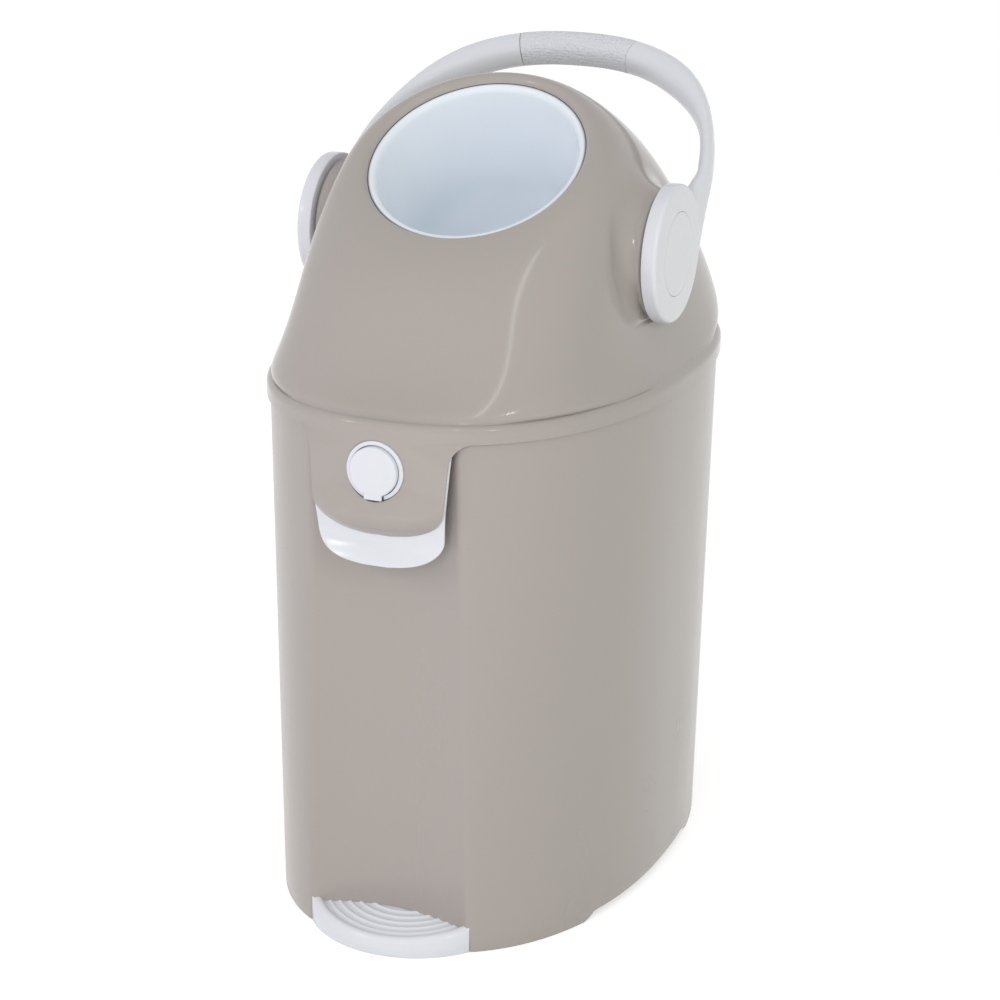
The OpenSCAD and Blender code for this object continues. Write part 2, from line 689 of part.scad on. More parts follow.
module button_bezel() {
    color(white) difference() {
        union() {
            on_button() cylinder(r = bezel_r, h = bezel_t - 0.8);
            on_button() translate([0, 0, bezel_t - 0.8])
                cylinder(r1 = bezel_r, r2 = bezel_r - 0.8, h = 0.8);
            on_button() translate([0, 0, -cup_depth - cup_floor])
                cylinder(r = bezel_tube_r, h = cup_depth + cup_floor + 1);
            for (side = [-1, 1]) translate([side * (ear_x + ear_t / 2) - ear_t / 2, 0, 0]) {
                translate([0, hook_y - 6.5, hook_z - 4]) cube([ear_t, 6.5, 8]);
                translate([0, hook_y, hook_z]) rotate([0, 90, 0]) cylinder(r = 4, h = ear_t);
            }
        }
        on_button() translate([0, 0, -cup_depth]) cylinder(r = button_r + 0.5, h = 40);
        on_button() translate([0, 0, -cup_depth - 4]) cylinder(r = stem_r + run_gap, h = 8);
        on_button() translate([-key_half - 0.4, -bezel_r - 3, 0]) cube([2 * key_half + 0.8, 12, 10]);
        translate([-20, hook_y, hook_z]) rotate([0, 90, 0]) cylinder(r = pin_r, h = 40);
    }
}

button_proud = 3.4;
button_face = bezel_t + button_proud;
key_half = 6.8;
skirt_len = 10;
stem_end = cup_depth + cup_floor + 5 - 2 - run_gap;

module latch_button() {
    color(white) on_button() {
        difference() {
            union() {
                translate([0, 0, button_face - 1]) cylinder(r1 = button_r, r2 = button_r - 0.8, h = 1);
                translate([0, 0, button_face - skirt_len]) cylinder(r = button_r, h = skirt_len - 1);
            }
            translate([0, 0, button_face - skirt_len - 1]) cylinder(r = button_r - 1.8, h = skirt_len - 1.2);
        }
        translate([-key_half, -bezel_r + 1, button_face - 1.2]) cube([2 * key_half, 8, 1]);
        translate([0, 0, -stem_end + stem_r])
            cylinder(r = stem_r, h = stem_end - stem_r + button_face - 1.5);
        translate([0, 0, -stem_end + stem_r]) sphere(r = stem_r);
    }
}

// A round wire wound on a helix along +Z
module coil(mean_r, wire_r, length, turns) {
    ring_steps = 14;
    sides = 6;
    steps = turns * ring_steps;
    loft([for (i = [0 : steps])
          let (t = 360 * i / ring_steps, z = wire_r + (length - 2 * wire_r) * i / steps)
          [for (j = [0 : sides - 1]) let (q = 360 * j / sides, r = mean_r + wire_r * cos(q))
           [r * cos(t), r * sin(t), z + wire_r * sin(q)]]]);
}

module button_spring() {
    color(steel) on_button() translate([0, 0, -cup_depth])
        coil(6, 0.6, cup_depth + button_face - 2.2, 6);
}

hook_half = 5;
hook_barrel_r = 3.4;
barb_reach = 8.3;

module latch_hook() {
    color(white) difference() {
        union() {
            translate([-hook_half, hook_y, hook_z]) rotate([0, 90, 0])
                cylinder(r = hook_barrel_r, h = 2 * hook_half);
            translate([-hook_half, hook_y, hook_z]) rotate([90, 0, 90]) linear_extrude(2 * hook_half)
                polygon([[-2, 0], [-2, hook_drop + 2.2], [1.6, hook_drop + 2.2], [2, 0]]);
            translate([-hook_half, hook_y, hook_z]) rotate([90, 0, 90]) linear_extrude(2 * hook_half)
                polygon([[-2, 0], [2, 0], [2, -11.2], [barb_reach, -11.2], [barb_reach, -12.4],
                         [-1, -17]]);
        }
        translate([-20, hook_y, hook_z]) rotate([0, 90, 0]) cylinder(r = pin_r + fit_gap, h = 40);
    }
}

module hook_pin() {
    color(steel) translate([-ear_x - ear_t, hook_y, hook_z]) rotate([0, 90, 0])
        cylinder(r = pin_r, h = 2 * (ear_x + ear_t));
}

module hook_spring() {
    color(steel) translate([hook_half + 0.2, hook_y, hook_z]) rotate([0, 90, 0]) coil(2.4, 0.4, 3.6, 4);
}

// ---- drum ----------------------------------------------------------------------------
drum_mouth_r = mouth_r - 3.4;
drum_mouth_h = sqrt(drum_r * drum_r - drum_mouth_r * drum_mouth_r);
flange_r = 25;
flange_t = 3;
drum_screw_pcd_r = 18.5;
drum_side_t = 3.5;         // thickness of the drum's flat sides

module drum_shell() {
    color(white) translate([0, axle_y, axle_z]) difference() {
        intersection() {
            sphere(r = drum_r, $fn = 128);
            cube([2 * drum_flat_x, 3 * drum_r, 3 * drum_r], center = true);
        }
        intersection() {
            sphere(r = drum_r - drum_wall, $fn = 128);
            cube([2 * (drum_flat_x - drum_side_t), 3 * drum_r, 3 * drum_r], center = true);
        }
        rotate([mouth_tilt, 0, 0]) cylinder(r = drum_mouth_r, h = 2 * drum_r);
        for (side = [-1, 1], q = [90, 210, 330]) rotate([0, 90 * side, 0]) rotate([0, 0, q])
            translate([drum_screw_pcd_r, 0, drum_flat_x - 14]) cylinder(r = screw_r, h = 40);
        rotate([0, 90, 0]) cylinder(r = 4, h = 3 * drum_r, center = true);
    }
}

// The bowl is a cup with a round bottom, hung by its rim in the mouth of the drum
bowl_top = drum_mouth_h + 0.9;
function bowl_profile(inset) =
    let (r0 = drum_mouth_r - 3 - inset, hb = -6, rb = bowl_bottom_r - inset)
    concat([[r0, drum_mouth_h - 3]], [[mix(r0, rb, 0.55), 30]],
           [for (q = [0 : 7.5 : 90]) [rb * cos(q), hb - rb * sin(q) * 0.86]]);
module bowl() {
    outer = bowl_profile(0);
    inner = bowl_profile(drum_wall);
    rim_out = drum_mouth_r - 0.05;
    color(white) on_mouth_axis() rotate_extrude($fn = 128) polygon(concat(
        [[drum_mouth_r - 3.4, bowl_top], [drum_mouth_r - 1.4, bowl_top], [rim_out, drum_mouth_h - 0.2],
         [rim_out, drum_mouth_h - 3]],
        outer,
        [for (i = [len(inner) - 1 : -1 : 0]) inner[i]],
        [[drum_mouth_r - 3 - drum_wall, bowl_top - 1.6]]));
}

module drum_screws() {
    color(steel) translate([0, axle_y, axle_z]) for (side = [-1, 1], q = [90, 210, 330])
        rotate([0, 90 * side, 0]) rotate([0, 0, q]) translate([drum_screw_pcd_r, 0, drum_flat_x]) {
            translate([0, 0, -3.4]) cylinder(r = screw_r, h = flange_t + 3.4);
            translate([0, 0, flange_t]) cylinder(r = screw_head_r, h = screw_head_h);
        }
}

hub_in_x = boss_x + 1.8;
hub_out_x = hub_in_x + hub_t;
shaft_end_x = hub_out_x - 5.4;
cap_r = 31;
cap_t = 1.8;
hub_head_x = hub_out_x - cap_t - screw_head_h;
hub_boss_r = 15;
drive_half = 0.65 * shaft_r; // half width of the square drive on a trunnion

module trunnion(side) {
    color(white) on_axle(side) difference() {
        union() {
            translate([0, 0, drum_flat_x]) cylinder(r = flange_r, h = flange_t);
            translate([0, 0, drum_flat_x]) cylinder(r = shaft_r, h = hub_in_x - drum_flat_x);
            translate([-drive_half, -drive_half, hub_in_x - 1])
                cube([2 * drive_half, 2 * drive_half, shaft_end_x - hub_in_x + 1]);
        }
        for (q = [90, 210, 330]) rotate([0, 0, q]) translate([drum_screw_pcd_r, 0, drum_flat_x - 1])
            cylinder(r = screw_r + 0.2, h = flange_t + 2);
        translate([0, 0, shaft_end_x - 14]) cylinder(r = screw_r, h = 30);
    }
}
module trunnion_right() trunnion(1);
module trunnion_left() trunnion(-1);

// ---- handle --------------------------------------------------------------------------
arch_half = hub_out_x - 0.4; // half width of the arch centre line at its widest
arch_foot = 40;            // height of the centre line's foot above the axle
arch_n = 2.3;
arch_steps = 40;
section_steps = 20;
sleeve_t = 2.4;

// Centre line of the arch: across, and up from the axle, by angle from the right foot
function arch_at(q) = [arch_half * spow(cos(q), 2 / arch_n),
                       arch_foot + (handle_reach - arch_foot) * pow(max(sin(q), 0), 2 / arch_n)];
// Thickness grows from the slim arms to the full grip
function arm_blend(q) = let (e = min(q, 180 - q), t = min(max((e - 22) / 38, 0), 1)) t * t * (3 - 2 * t);
function arm_t(q) = mix(hub_t, grip_t, arm_blend(q)) / 2;
function arm_w(q) = mix(21.5, grip_t + 1, arm_blend(q)) / 2
                  + 3 * pow(max(1 - min(q, 180 - q) / 22, 0), 2);

function arch_section(c, d, t, w) =
    [for (j = [0 : section_steps - 1])
     let (q = 360 * j / section_steps, u = spow(cos(q), 0.86) * t, v = spow(sin(q), 0.86) * w)
     [c[0] + d[1] * u, v, c[1] - d[0] * u]];
function arch_ring(q, less) =
    let (d = unit(arch_at(q + 0.5) - arch_at(q - 0.5)))
    arch_section(arch_at(q), d, arm_t(q) - less, arm_w(q) - less);
function foot_ring(side, f) = arch_section([side * (hub_mid_x + f[0]), f[1]], [0, side], f[2], f[3]);

grip_q = let (f = pow(grip_len / 2 / arch_half, arch_n / 2)) acos(f);
module in_handle_frame() translate([0, axle_y, axle_z]) rotate([-handle_lean, 0, 0]) children();

hub_mid_x = (hub_in_x + hub_out_x) / 2;
// Rings of the arm's foot inside the hub: offset across, radius, half thickness, half width
arm_feet = [[0, 22, 3, 12], [0, 34, 4.6, 17], [1.2, 50, 5.3, 16.5], [3.4, 62, 5.4, 14.5]];
module arch() {
    loft(concat(
        [for (k = [0 : 3]) foot_ring(1, arm_feet[k])],
        [for (i = [0 : 10]) arch_ring(mix(9, grip_q, i / 10), 0)],
        [for (i = [0 : 14]) arch_ring(mix(grip_q + 0.1, 179.9 - grip_q, i / 14), sleeve_t)],
        [for (i = [0 : 10]) arch_ring(mix(180 - grip_q, 171, i / 10), 0)],
        [for (k = [3 : -1 : 0]) foot_ring(-1, arm_feet[k])]));
}

module hub_disc(side) {
    rotate([0, 90 * side, 0]) {
        translate([0, 0, hub_in_x]) cylinder(r = hub_r, h = hub_t - 3);
        translate([0, 0, hub_out_x - 3]) cylinder(r1 = hub_r, r2 = hub_r - 1, h = 1.8);
        translate([0, 0, hub_out_x - 1.2]) cylinder(r1 = hub_r - 1, r2 = hub_r - 3.4, h = 1.2);
    }
}

// The arm flares along a tangent into the rear of its hub disc
flare_reach = 98;
flare_half = 8;
module hub_flare(side) {
    r = hub_r - 1;
    a = asin(r / norm([flare_half, flare_reach])) - atan2(flare_half, flare_reach);
    x0 = side > 0 ? hub_mid_x : -hub_out_x + 1.6;
    translate([x0, 0, 0]) rotate([90, 0, 90]) linear_extrude(hub_out_x - hub_mid_x - 1.6)
        polygon([[0, 35], [r * cos(a), r * sin(a)], [flare_half, flare_reach], [0, flare_reach]]);
}

module handle() {
    color(white) in_handle_frame() difference() {
        union() {
            arch();
            for (side = [-1, 1]) hub_disc(side);
            for (side = [-1, 1]) hub_flare(side);
        }
        for (side = [-1, 1]) rotate([0, 90 * side, 0]) {
            translate([0, 0, hub_in_x - 1]) difference() {
                cylinder(r = hub_r - 3, h = hub_t - cap_t - 2.6 + 1);
                translate([0, 0, -1]) cylinder(r = hub_boss_r, h = hub_t + 2);
            }
            translate([0, 0, hub_out_x - cap_t]) cylinder(r = cap_r, h = 20);
            rotate([0, 0, side * handle_lean]) translate([-drive_half, -drive_half, hub_in_x - 1])
                cube([2 * drive_half, 2 * drive_half, shaft_end_x - hub_in_x + 1]);
            translate([0, 0, hub_in_x - 1]) cylinder(r = screw_r + 0.2, h = 20);
            translate([0, 0, hub_head_x]) cylinder(r = screw_head_r + 0.3, h = 20);
        }
    }
}

module handle_grip() {
    q0 = grip_q + 0.25;
    q1 = 180 - q0;
    outer = [for (i = [0 : 14]) arch_ring(mix(q0, q1, i / 14), 0)];
    inner = [for (i = [14 : -1 : 0]) arch_ring(mix(q0, q1, i / 14), sleeve_t - 0.1)];
    color(white) in_handle_frame() loft(concat(outer, inner), torus = true);
}

module hub_screws() {
    color(steel) for (side = [-1, 1]) on_axle(side) {
        translate([0, 0, shaft_end_x - 12]) cylinder(r = screw_r, h = hub_head_x - shaft_end_x + 12);
        translate([0, 0, hub_head_x]) cylinder(r = screw_head_r, h = screw_head_h - 0.1);
    }
}

module hub_cap(side) {
    color(white) on_axle(side) translate([0, 0, hub_out_x - cap_t]) {
        cylinder(r = cap_r - 0.15, h = cap_t - 0.5);
        translate([0, 0, cap_t - 0.5]) cylinder(r1 = cap_r - 0.15, r2 = cap_r - 0.65, h = 0.5);
    }
}
module hub_cap_right() hub_cap(1);
module hub_cap_left() hub_cap(-1);

pail_body();
foot_rest();
foot_screws();
latch_keeper();
hinge_pin();
lid_dome();
lid_frame();
frame_screws();
rim_gasket();
mouth_seal();
chute_seal();
bush_left();
bush_right();
lift_tab();
tab_screws();
button_bezel();
drum_shell();
bowl();
drum_screws();
trunnion_left();
trunnion_right();
handle();
handle_grip();
hub_screws();
hub_cap_left();
hub_cap_right();
latch_button();
button_spring();
latch_hook();
hook_pin();
hook_spring();
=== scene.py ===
"""Nappy bin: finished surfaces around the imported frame.

The frame brings the mechanism: frame panel, seals, bushes, screws, springs and latch. Here the
outer mouldings are modelled again with rounded edges and true sweeps, and every piece gets its
finish. Lengths in the shape functions are millimetres; meshes are in metres.
"""

import math

import bpy
from bpy.props import FloatProperty, FloatVectorProperty, PointerProperty
from mathutils import Matrix, Vector, geometry
from mathutils.bvhtree import BVHTree


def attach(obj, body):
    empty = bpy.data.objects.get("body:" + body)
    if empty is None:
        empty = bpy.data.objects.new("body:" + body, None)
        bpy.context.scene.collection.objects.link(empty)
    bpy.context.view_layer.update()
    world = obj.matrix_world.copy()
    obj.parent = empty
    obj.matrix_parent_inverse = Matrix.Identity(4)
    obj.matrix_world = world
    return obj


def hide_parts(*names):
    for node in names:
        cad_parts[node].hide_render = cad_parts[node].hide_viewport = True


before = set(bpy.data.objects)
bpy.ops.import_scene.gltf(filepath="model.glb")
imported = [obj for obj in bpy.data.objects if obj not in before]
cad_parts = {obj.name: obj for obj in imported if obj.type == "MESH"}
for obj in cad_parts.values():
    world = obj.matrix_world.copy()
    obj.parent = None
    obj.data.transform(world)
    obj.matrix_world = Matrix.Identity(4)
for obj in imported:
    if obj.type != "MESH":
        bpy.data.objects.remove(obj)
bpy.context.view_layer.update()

bl_info = {
    "name": "Nappy bin",
    "version": (1, 0, 0),
    "blender": (4, 5, 0),
    "location": "View3D > Sidebar > Nappy bin",
    "description": "Builds the mouldings and finishes of a flip-handle nappy bin",
    "category": "Object",
}

MM = 0.001


# ---- sizes and colours ----------------------------------------------------------------
class BinSizes(bpy.types.PropertyGroup):
    channel_fillet: FloatProperty(
        name="Channel corner", description="Rounding where the front channel meets the pail",
        default=0.0038, unit="LENGTH")
    apron_bulge: FloatProperty(
        name="Apron bulge", description="How far the apron swells forward below the button",
        default=0.0052, unit="LENGTH")
    apron_roll: FloatProperty(
        name="Apron roll", description="How far the lower rim of the apron rolls in",
        default=0.0065, unit="LENGTH")
    boss_fillet: FloatProperty(
        name="Boss fillet", description="Width of the fillet between a boss and the dome",
        default=0.019, unit="LENGTH")
    rib_height: FloatProperty(
        name="Foot rib", description="Height of the grip ribs of the foot rest",
        default=0.0012, unit="LENGTH")
    edge_round: FloatProperty(
        name="Edge rounding", description="Rounding of the moulded edges",
        default=0.0007, unit="LENGTH")


class BinColours(bpy.types.PropertyGroup):
    taupe: FloatVectorProperty(
        name="Taupe", description="Colour of the pail and the lid", subtype="COLOR",
        size=3, min=0, max=1, default=(0.427, 0.390, 0.363))
    white: FloatVectorProperty(
        name="White", description="Colour of the handle, the button and the foot rest",
        subtype="COLOR", size=3, min=0, max=1, default=(0.785, 0.812, 0.86))
    bowl: FloatVectorProperty(
        name="Bowl", description="Colour of the bowl inside the drum", subtype="COLOR",
        size=3, min=0, max=1, default=(0.86, 0.915, 0.97))


# ---- small helpers --------------------------------------------------------------------
MERGE = 0.00001


def spow(v, e):
    """A power that keeps the sign of v, for rounded squares."""
    return math.copysign(abs(v) ** e, v)


def mix(a, b, t):
    """A value between a, at t = 0, and b, at t = 1."""
    return a + (b - a) * t


def smooth(t):
    """An even ramp from 0 to 1 with soft ends."""
    t = min(max(t, 0.0), 1.0)
    return t * t * (3 - 2 * t)


def bend(p, t):
    """A point of a quadratic Bezier curve through three control vectors."""
    return p[0] * (1 - t) ** 2 + p[1] * (2 * t * (1 - t)) + p[2] * t * t


def bez(p, t):
    """A point of a cubic Bezier curve through four control values or vectors."""
    s = 1 - t
    return p[0] * s ** 3 + p[1] * (3 * s * s * t) + p[2] * (3 * s * t * t) + p[3] * t ** 3


def deselect():
    """Leaves edit mode and clears the selection."""
    if bpy.context.object and bpy.context.object.mode == "EDIT":
        bpy.ops.object.mode_set(mode="OBJECT")
    bpy.ops.object.select_all(action="DESELECT")


def take(obj):
    """Makes obj the only selected and the active object."""
    deselect()
    obj.select_set(True)
    bpy.context.view_layer.objects.active = obj
    return obj


def skin(name, rows):
    """A grid primitive whose vertices are laid on rows of points, in millimetres."""
    along, across = len(rows) - 1, len(rows[0]) - 1
    deselect()
    bpy.ops.mesh.primitive_grid_add(x_subdivisions=across, y_subdivisions=along, size=1)
    obj = bpy.context.object
    obj.name = obj.data.name = name
    for v in obj.data.vertices:
        row = rows[round((v.co.y + 0.5) * along)]
        v.co = Vector(row[round((v.co.x + 0.5) * across)]) * MM
    return obj


def turned(name, profile, steps=96):
    """A closed outline of (radius, height) points, spun about +Z into a solid."""
    deselect()
    bpy.ops.mesh.primitive_circle_add(vertices=len(profile), radius=1)
    obj = bpy.context.object
    obj.name = obj.data.name = name
    for v, (r, h) in zip(obj.data.vertices, profile):
        v.co = Vector((r, 0, h)) * MM
    bpy.ops.object.mode_set(mode="EDIT")
    bpy.ops.mesh.select_all(action="SELECT")
    bpy.ops.mesh.spin(steps=steps, angle=2 * math.pi, use_auto_merge=True,
                      center=(0, 0, 0), axis=(0, 0, 1))
    bpy.ops.object.mode_set(mode="OBJECT")
    return tidy(obj)


def plate(name, outline, thickness):
    """A flat outline in X and Y, extruded upwards along Z, in millimetres."""
    deselect()
    bpy.ops.mesh.primitive_circle_add(vertices=len(outline), radius=1, fill_type="NGON")
    obj = bpy.context.object
    obj.name = obj.data.name = name
    for v, (x, y) in zip(obj.data.vertices, outline):
        v.co = Vector((x, y, 0)) * MM
    bpy.ops.object.mode_set(mode="EDIT")
    bpy.ops.mesh.select_all(action="SELECT")
    bpy.ops.mesh.extrude_region_move(TRANSFORM_OT_translate={"value": (0, 0, thickness * MM)})
    bpy.ops.object.mode_set(mode="OBJECT")
    return tidy(obj)


def tidy(obj):
    """Merges doubles, drops loose edges, and turns all faces outwards."""
    take(obj)
    bpy.ops.object.mode_set(mode="EDIT")
    bpy.ops.mesh.select_all(action="SELECT")
    bpy.ops.mesh.remove_doubles(threshold=MERGE)
    bpy.ops.mesh.delete_loose(use_verts=True, use_edges=True, use_faces=False)
    bpy.ops.mesh.select_all(action="SELECT")
    bpy.ops.mesh.normals_make_consistent(inside=False)
    bpy.ops.object.mode_set(mode="OBJECT")
    return obj


def heal(obj):
    """Takes out the slivers that a bevel leaves where it runs out of room."""
    take(obj)
    bpy.ops.object.mode_set(mode="EDIT")
    bpy.ops.mesh.select_all(action="SELECT")
    bpy.ops.mesh.remove_doubles(threshold=MERGE)
    bpy.ops.mesh.dissolve_degenerate(threshold=2 * MERGE)
    bpy.ops.object.mode_set(mode="OBJECT")
    return obj


def carve(obj, kind, **settings):
    """Adds a modifier with these settings and applies it."""
    take(obj)
    bpy.ops.object.modifier_add(type=kind)
    modifier = obj.modifiers[-1]
    for key, value in settings.items():
        setattr(modifier, key, value)
    bpy.ops.object.modifier_apply(modifier=modifier.name)
    return obj


def cut(obj, tool):
    """Takes tool away from obj, and deletes it."""
    carve(obj, "BOOLEAN", object=tool, operation="DIFFERENCE", solver="EXACT")
    bpy.data.objects.remove(tool)
    return obj


def lay(obj, matrix):
    """Moves the mesh itself, so that its object stays at the origin."""
    obj.data.transform(matrix)
    obj.data.update()
    return obj


def join(first, *others):
    """Joins meshes into the first one, which keeps its name."""
    deselect()
    for o in (first, *others):
        o.select_set(True)
    bpy.context.view_layer.objects.active = first
    bpy.ops.object.join()
    return first


def hand_over(obj, body, nodes, material, angle=35):
    """Shades a finished piece and tells the frame what it rides on and stands for."""
    take(obj)
    bpy.ops.object.shade_smooth_by_angle(angle=math.radians(angle))
    obj.data.materials.clear()
    obj.data.materials.append(material)
    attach(obj, body)
    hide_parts(*nodes)
    return obj


def bar(name, low, high, edge=0.4):
    """A bar between two corners, with its edges bevelled."""
    deselect()
    bpy.ops.mesh.primitive_cube_add(size=1)
    obj = bpy.context.object
    obj.name = obj.data.name = name
    low, high = Vector(low) * MM, Vector(high) * MM
    for v in obj.data.vertices:
        for k in range(3):
            v.co[k] = mix(low[k], high[k], v.co[k] + 0.5)
    if edge:
        carve(obj, "BEVEL", width=edge * MM, segments=2, limit_method="NONE")
    return obj


def close_ends(obj):
    """Fills each open end of a skin or a tube with one face."""
    take(obj)
    bpy.ops.object.mode_set(mode="EDIT")
    bpy.ops.mesh.select_all(action="SELECT")
    bpy.ops.mesh.fill_holes(sides=0)
    bpy.ops.mesh.select_all(action="SELECT")
    bpy.ops.mesh.normals_make_consistent(inside=False)
    bpy.ops.object.mode_set(mode="OBJECT")
    return obj


def from_columns(name, columns):
    """A skin from columns of points, each from the first row to the last."""
    return skin(name, list(zip(*columns)))


def arc(cx, cy, r, a0, a1, n):
    """Points of an arc, from angle a0 to a1 in degrees."""
    return [(cx + r * math.cos(math.radians(mix(a0, a1, i / n))),
             cy + r * math.sin(math.radians(mix(a0, a1, i / n)))) for i in range(n + 1)]


# ---- plan of the pail -----------------------------------------------------------------
# The plan is a rounded oval with exponent PLAN_N. It grows from the floor up to the seam,
# where the lid's band meets the pail, and the rim stands up inside the band.
SEAM_Z, RIM_Z, FLOOR_Z, WALL, RIM_STEP = 391.0, 397.5, 9.0, 2.6, 1.6
PLAN_N = 2.27
HALF_W, HALF_W_DRAFT = 150, 6.2
HALF_LEN, HALF_LEN_DRAFT = 228, 5
SHIFT_FLOOR, SHIFT_SEAM = -1, -4.5
CHANNEL_FLOOR, CHANNEL_SEAM = 63.6, 56.2
CHANNEL_DIP, CHANNEL_INSET = 12.0, 0.7
SKIRT_LIFT, SKIRT_FRONT, SKIRT_REAR = 5.5, -128, 62
SKIRT_FRONT_RAMP, SKIRT_REAR_RAMP = 12, 14
OVAL_STEPS, CHANNEL_STEPS, CORNER_STEPS = 180, 28, 8


def half_w(z):
    """Half width of the oval at height z."""
    return HALF_W - HALF_W_DRAFT * (1 - z / SEAM_Z)


def half_len(z):
    """Half length of the oval at height z."""
    return HALF_LEN - HALF_LEN_DRAFT * (1 - z / SEAM_Z)


def shift_y(z):
    """Y of the oval's middle at height z."""
    return mix(SHIFT_FLOOR, SHIFT_SEAM, z / SEAM_Z)


def channel_half(z, inset=0.0):
    """Half width of the front channel, for a wall stepped in by inset."""
    return mix(CHANNEL_FLOOR, CHANNEL_SEAM, z / SEAM_Z) + inset * CHANNEL_INSET


def plan_y(x, a, b, yc):
    """Y of the oval's front at x, for half sizes a and b about yc."""
    return yc - b * max(1 - (abs(x) / a) ** PLAN_N, 0) ** (1 / PLAN_N)


def channel_face(x, z, inset=0.0):
    """Y of the channel's face at x, for a wall stepped in by inset."""
    yc, xc = shift_y(z), channel_half(z, inset)
    edge_y = plan_y(xc, half_w(z) - inset, half_len(z) - inset, yc)
    middle_y = plan_y(channel_half(z), half_w(z), half_len(z), yc) + CHANNEL_DIP + inset
    return mix(edge_y, middle_y, 1 - (x / xc) ** 2)


def skirt_z(y):
    """Height of the lower edge: it stands on the floor at the feet only."""
    return (SKIRT_LIFT * smooth((y - SKIRT_FRONT) / SKIRT_FRONT_RAMP)
            * smooth((SKIRT_REAR - y) / SKIRT_REAR_RAMP))


def pail_loop(z, inset, fillet, on_floor=False):
    """One closed loop of the pail; the first point is repeated at the end."""
    a, b, yc = half_w(z) - inset, half_len(z) - inset, shift_y(z)
    xc = channel_half(z, inset)
    start = math.acos(((xc + fillet) / a) ** (PLAN_N / 2))
    loop = []
    for i in range(OVAL_STEPS + 1):
        t = mix(-start, math.pi + start, i / OVAL_STEPS)
        loop.append(Vector((a * spow(math.cos(t), 2 / PLAN_N),
                            yc + b * spow(math.sin(t), 2 / PLAN_N), z)))
    corner = Vector((xc, plan_y(xc, a, b, yc), z))
    inner = Vector((xc - fillet, channel_face(xc - fillet, z, inset), z))
    flip = Vector((-1, 1, 1))
    left = [loop[-1], corner * flip, inner * flip]
    right = [inner, corner, loop[0]]
    across = [inner.x * (2 * i / CHANNEL_STEPS - 1) for i in range(CHANNEL_STEPS + 1)]
    loop += [bend(left, i / CORNER_STEPS) for i in range(1, CORNER_STEPS)]
    loop += [Vector((x, channel_face(x, z, inset), z)) for x in across]
    loop += [bend(right, i / CORNER_STEPS) for i in range(1, CORNER_STEPS + 1)]
    if on_floor:
        for p in loop:
            p.z += skirt_z(p.y)
    return loop


# ---- lid ------------------------------------------------------------------------------
# Points of the middle plane are vectors of Y and Z. The mouth is tilted about the axle, and
# MOUTH_N and MOUTH_T point out of it and up along it.
BAND_A, BAND_B = 152.7, 230.7
BAND_YC = -4.5
BAND_FRONT, BAND_REAR = BAND_YC - BAND_B, BAND_YC + BAND_B
BAND_BASE, BAND_TOP, BAND_ROUND = 391.5, 404.5, 4.4
BAND_EDGE = 3
LID_WALL = 2.4
AXLE = Vector((-17.0, 491.5))
TILT = math.radians(34)
MOUTH_R, DRUM_R, DRUM_GAP = 81.0, 112.0, 1.8
MOUTH_H = math.sqrt((DRUM_R + DRUM_GAP) ** 2 - MOUTH_R ** 2)
MOUTH_N = Vector((-math.sin(TILT), math.cos(TILT)))
MOUTH_T = Vector((math.cos(TILT), math.sin(TILT)))
LIP_R, LIP_DROP = 5.5, 3
LIP_H = MOUTH_H - LIP_DROP
CROWN_R, CROWN_H = MOUTH_R + LIP_R, LIP_H + LIP_R
ON_MOUTH = Matrix.Translation((0, AXLE.x * MM, AXLE.y * MM)) @ Matrix.Rotation(TILT, 4, "X")

# The dome rises from the band to its crown along four curves: in front, behind, at the side,
# and for the exponent of its plan. Each is given by its ends and two handles.
LID_STEPS, DOME_STEPS, COVE_STEPS = 384, 40, 7
DOME_START, COVE = 4.2, 0.06
FRONT_RISE, FRONT_PULL = Vector((59.8, 35)), 64.4
REAR_RISE, REAR_PULL = Vector((5.9, 30.2)), 26.1
SIDE_RISE, SIDE_PULL = 106.3, 47.0
SQUARE_RISE, SQUARE_TOP = 5.55, 2.0
FRONT_END = AXLE + CROWN_H * MOUTH_N - CROWN_R * MOUTH_T
REAR_END = AXLE + CROWN_H * MOUTH_N + CROWN_R * MOUTH_T
FRONT_START = Vector((BAND_FRONT + DOME_START, BAND_TOP))
REAR_START = Vector((BAND_REAR - DOME_START, BAND_TOP))
FRONT_LINE = [FRONT_START, FRONT_START + FRONT_RISE, FRONT_END - FRONT_PULL * MOUTH_T, FRONT_END]
REAR_LINE = [REAR_START, REAR_START + REAR_RISE, REAR_END + REAR_PULL * MOUTH_T, REAR_END]
SIDE_LINE = [BAND_A - DOME_START, SIDE_RISE, CROWN_R + SIDE_PULL, CROWN_R]
SQUARE_LINE = [PLAN_N, SQUARE_RISE, SQUARE_TOP, SQUARE_TOP]


def lid_loop(front, rear, a, n):
    """A closed loop of the lid between a front and a rear point of the middle plane."""
    middle, reach = (front + rear) / 2, (rear - front) / 2
    loop = []
    for i in range(LID_STEPS + 1):
        t = 2 * math.pi * i / LID_STEPS - math.pi / 2
        c = math.cos(t)
        # A small power would blow up what rounding leaves of a zero.
        c = 0.0 if abs(c) < 1e-9 else spow(c, 2 / n)
        s = spow(math.sin(t), 2 / n)
        loop.append((a * c, middle.x + reach.x * s, middle.y + reach.y * s))
    return loop


def band_loop(z, inset):
    """The band's outline at height z, stepped in by inset."""
    return lid_loop(Vector((BAND_FRONT + inset, z)), Vector((BAND_REAR - inset, z)),
                    BAND_A - inset, PLAN_N)


def mouth_loop(r, h):
    """A circle about the mouth's axis, h above the axle."""
    centre = AXLE + h * MOUTH_N
    return lid_loop(centre - r * MOUTH_T, centre + r * MOUTH_T, r, 2)


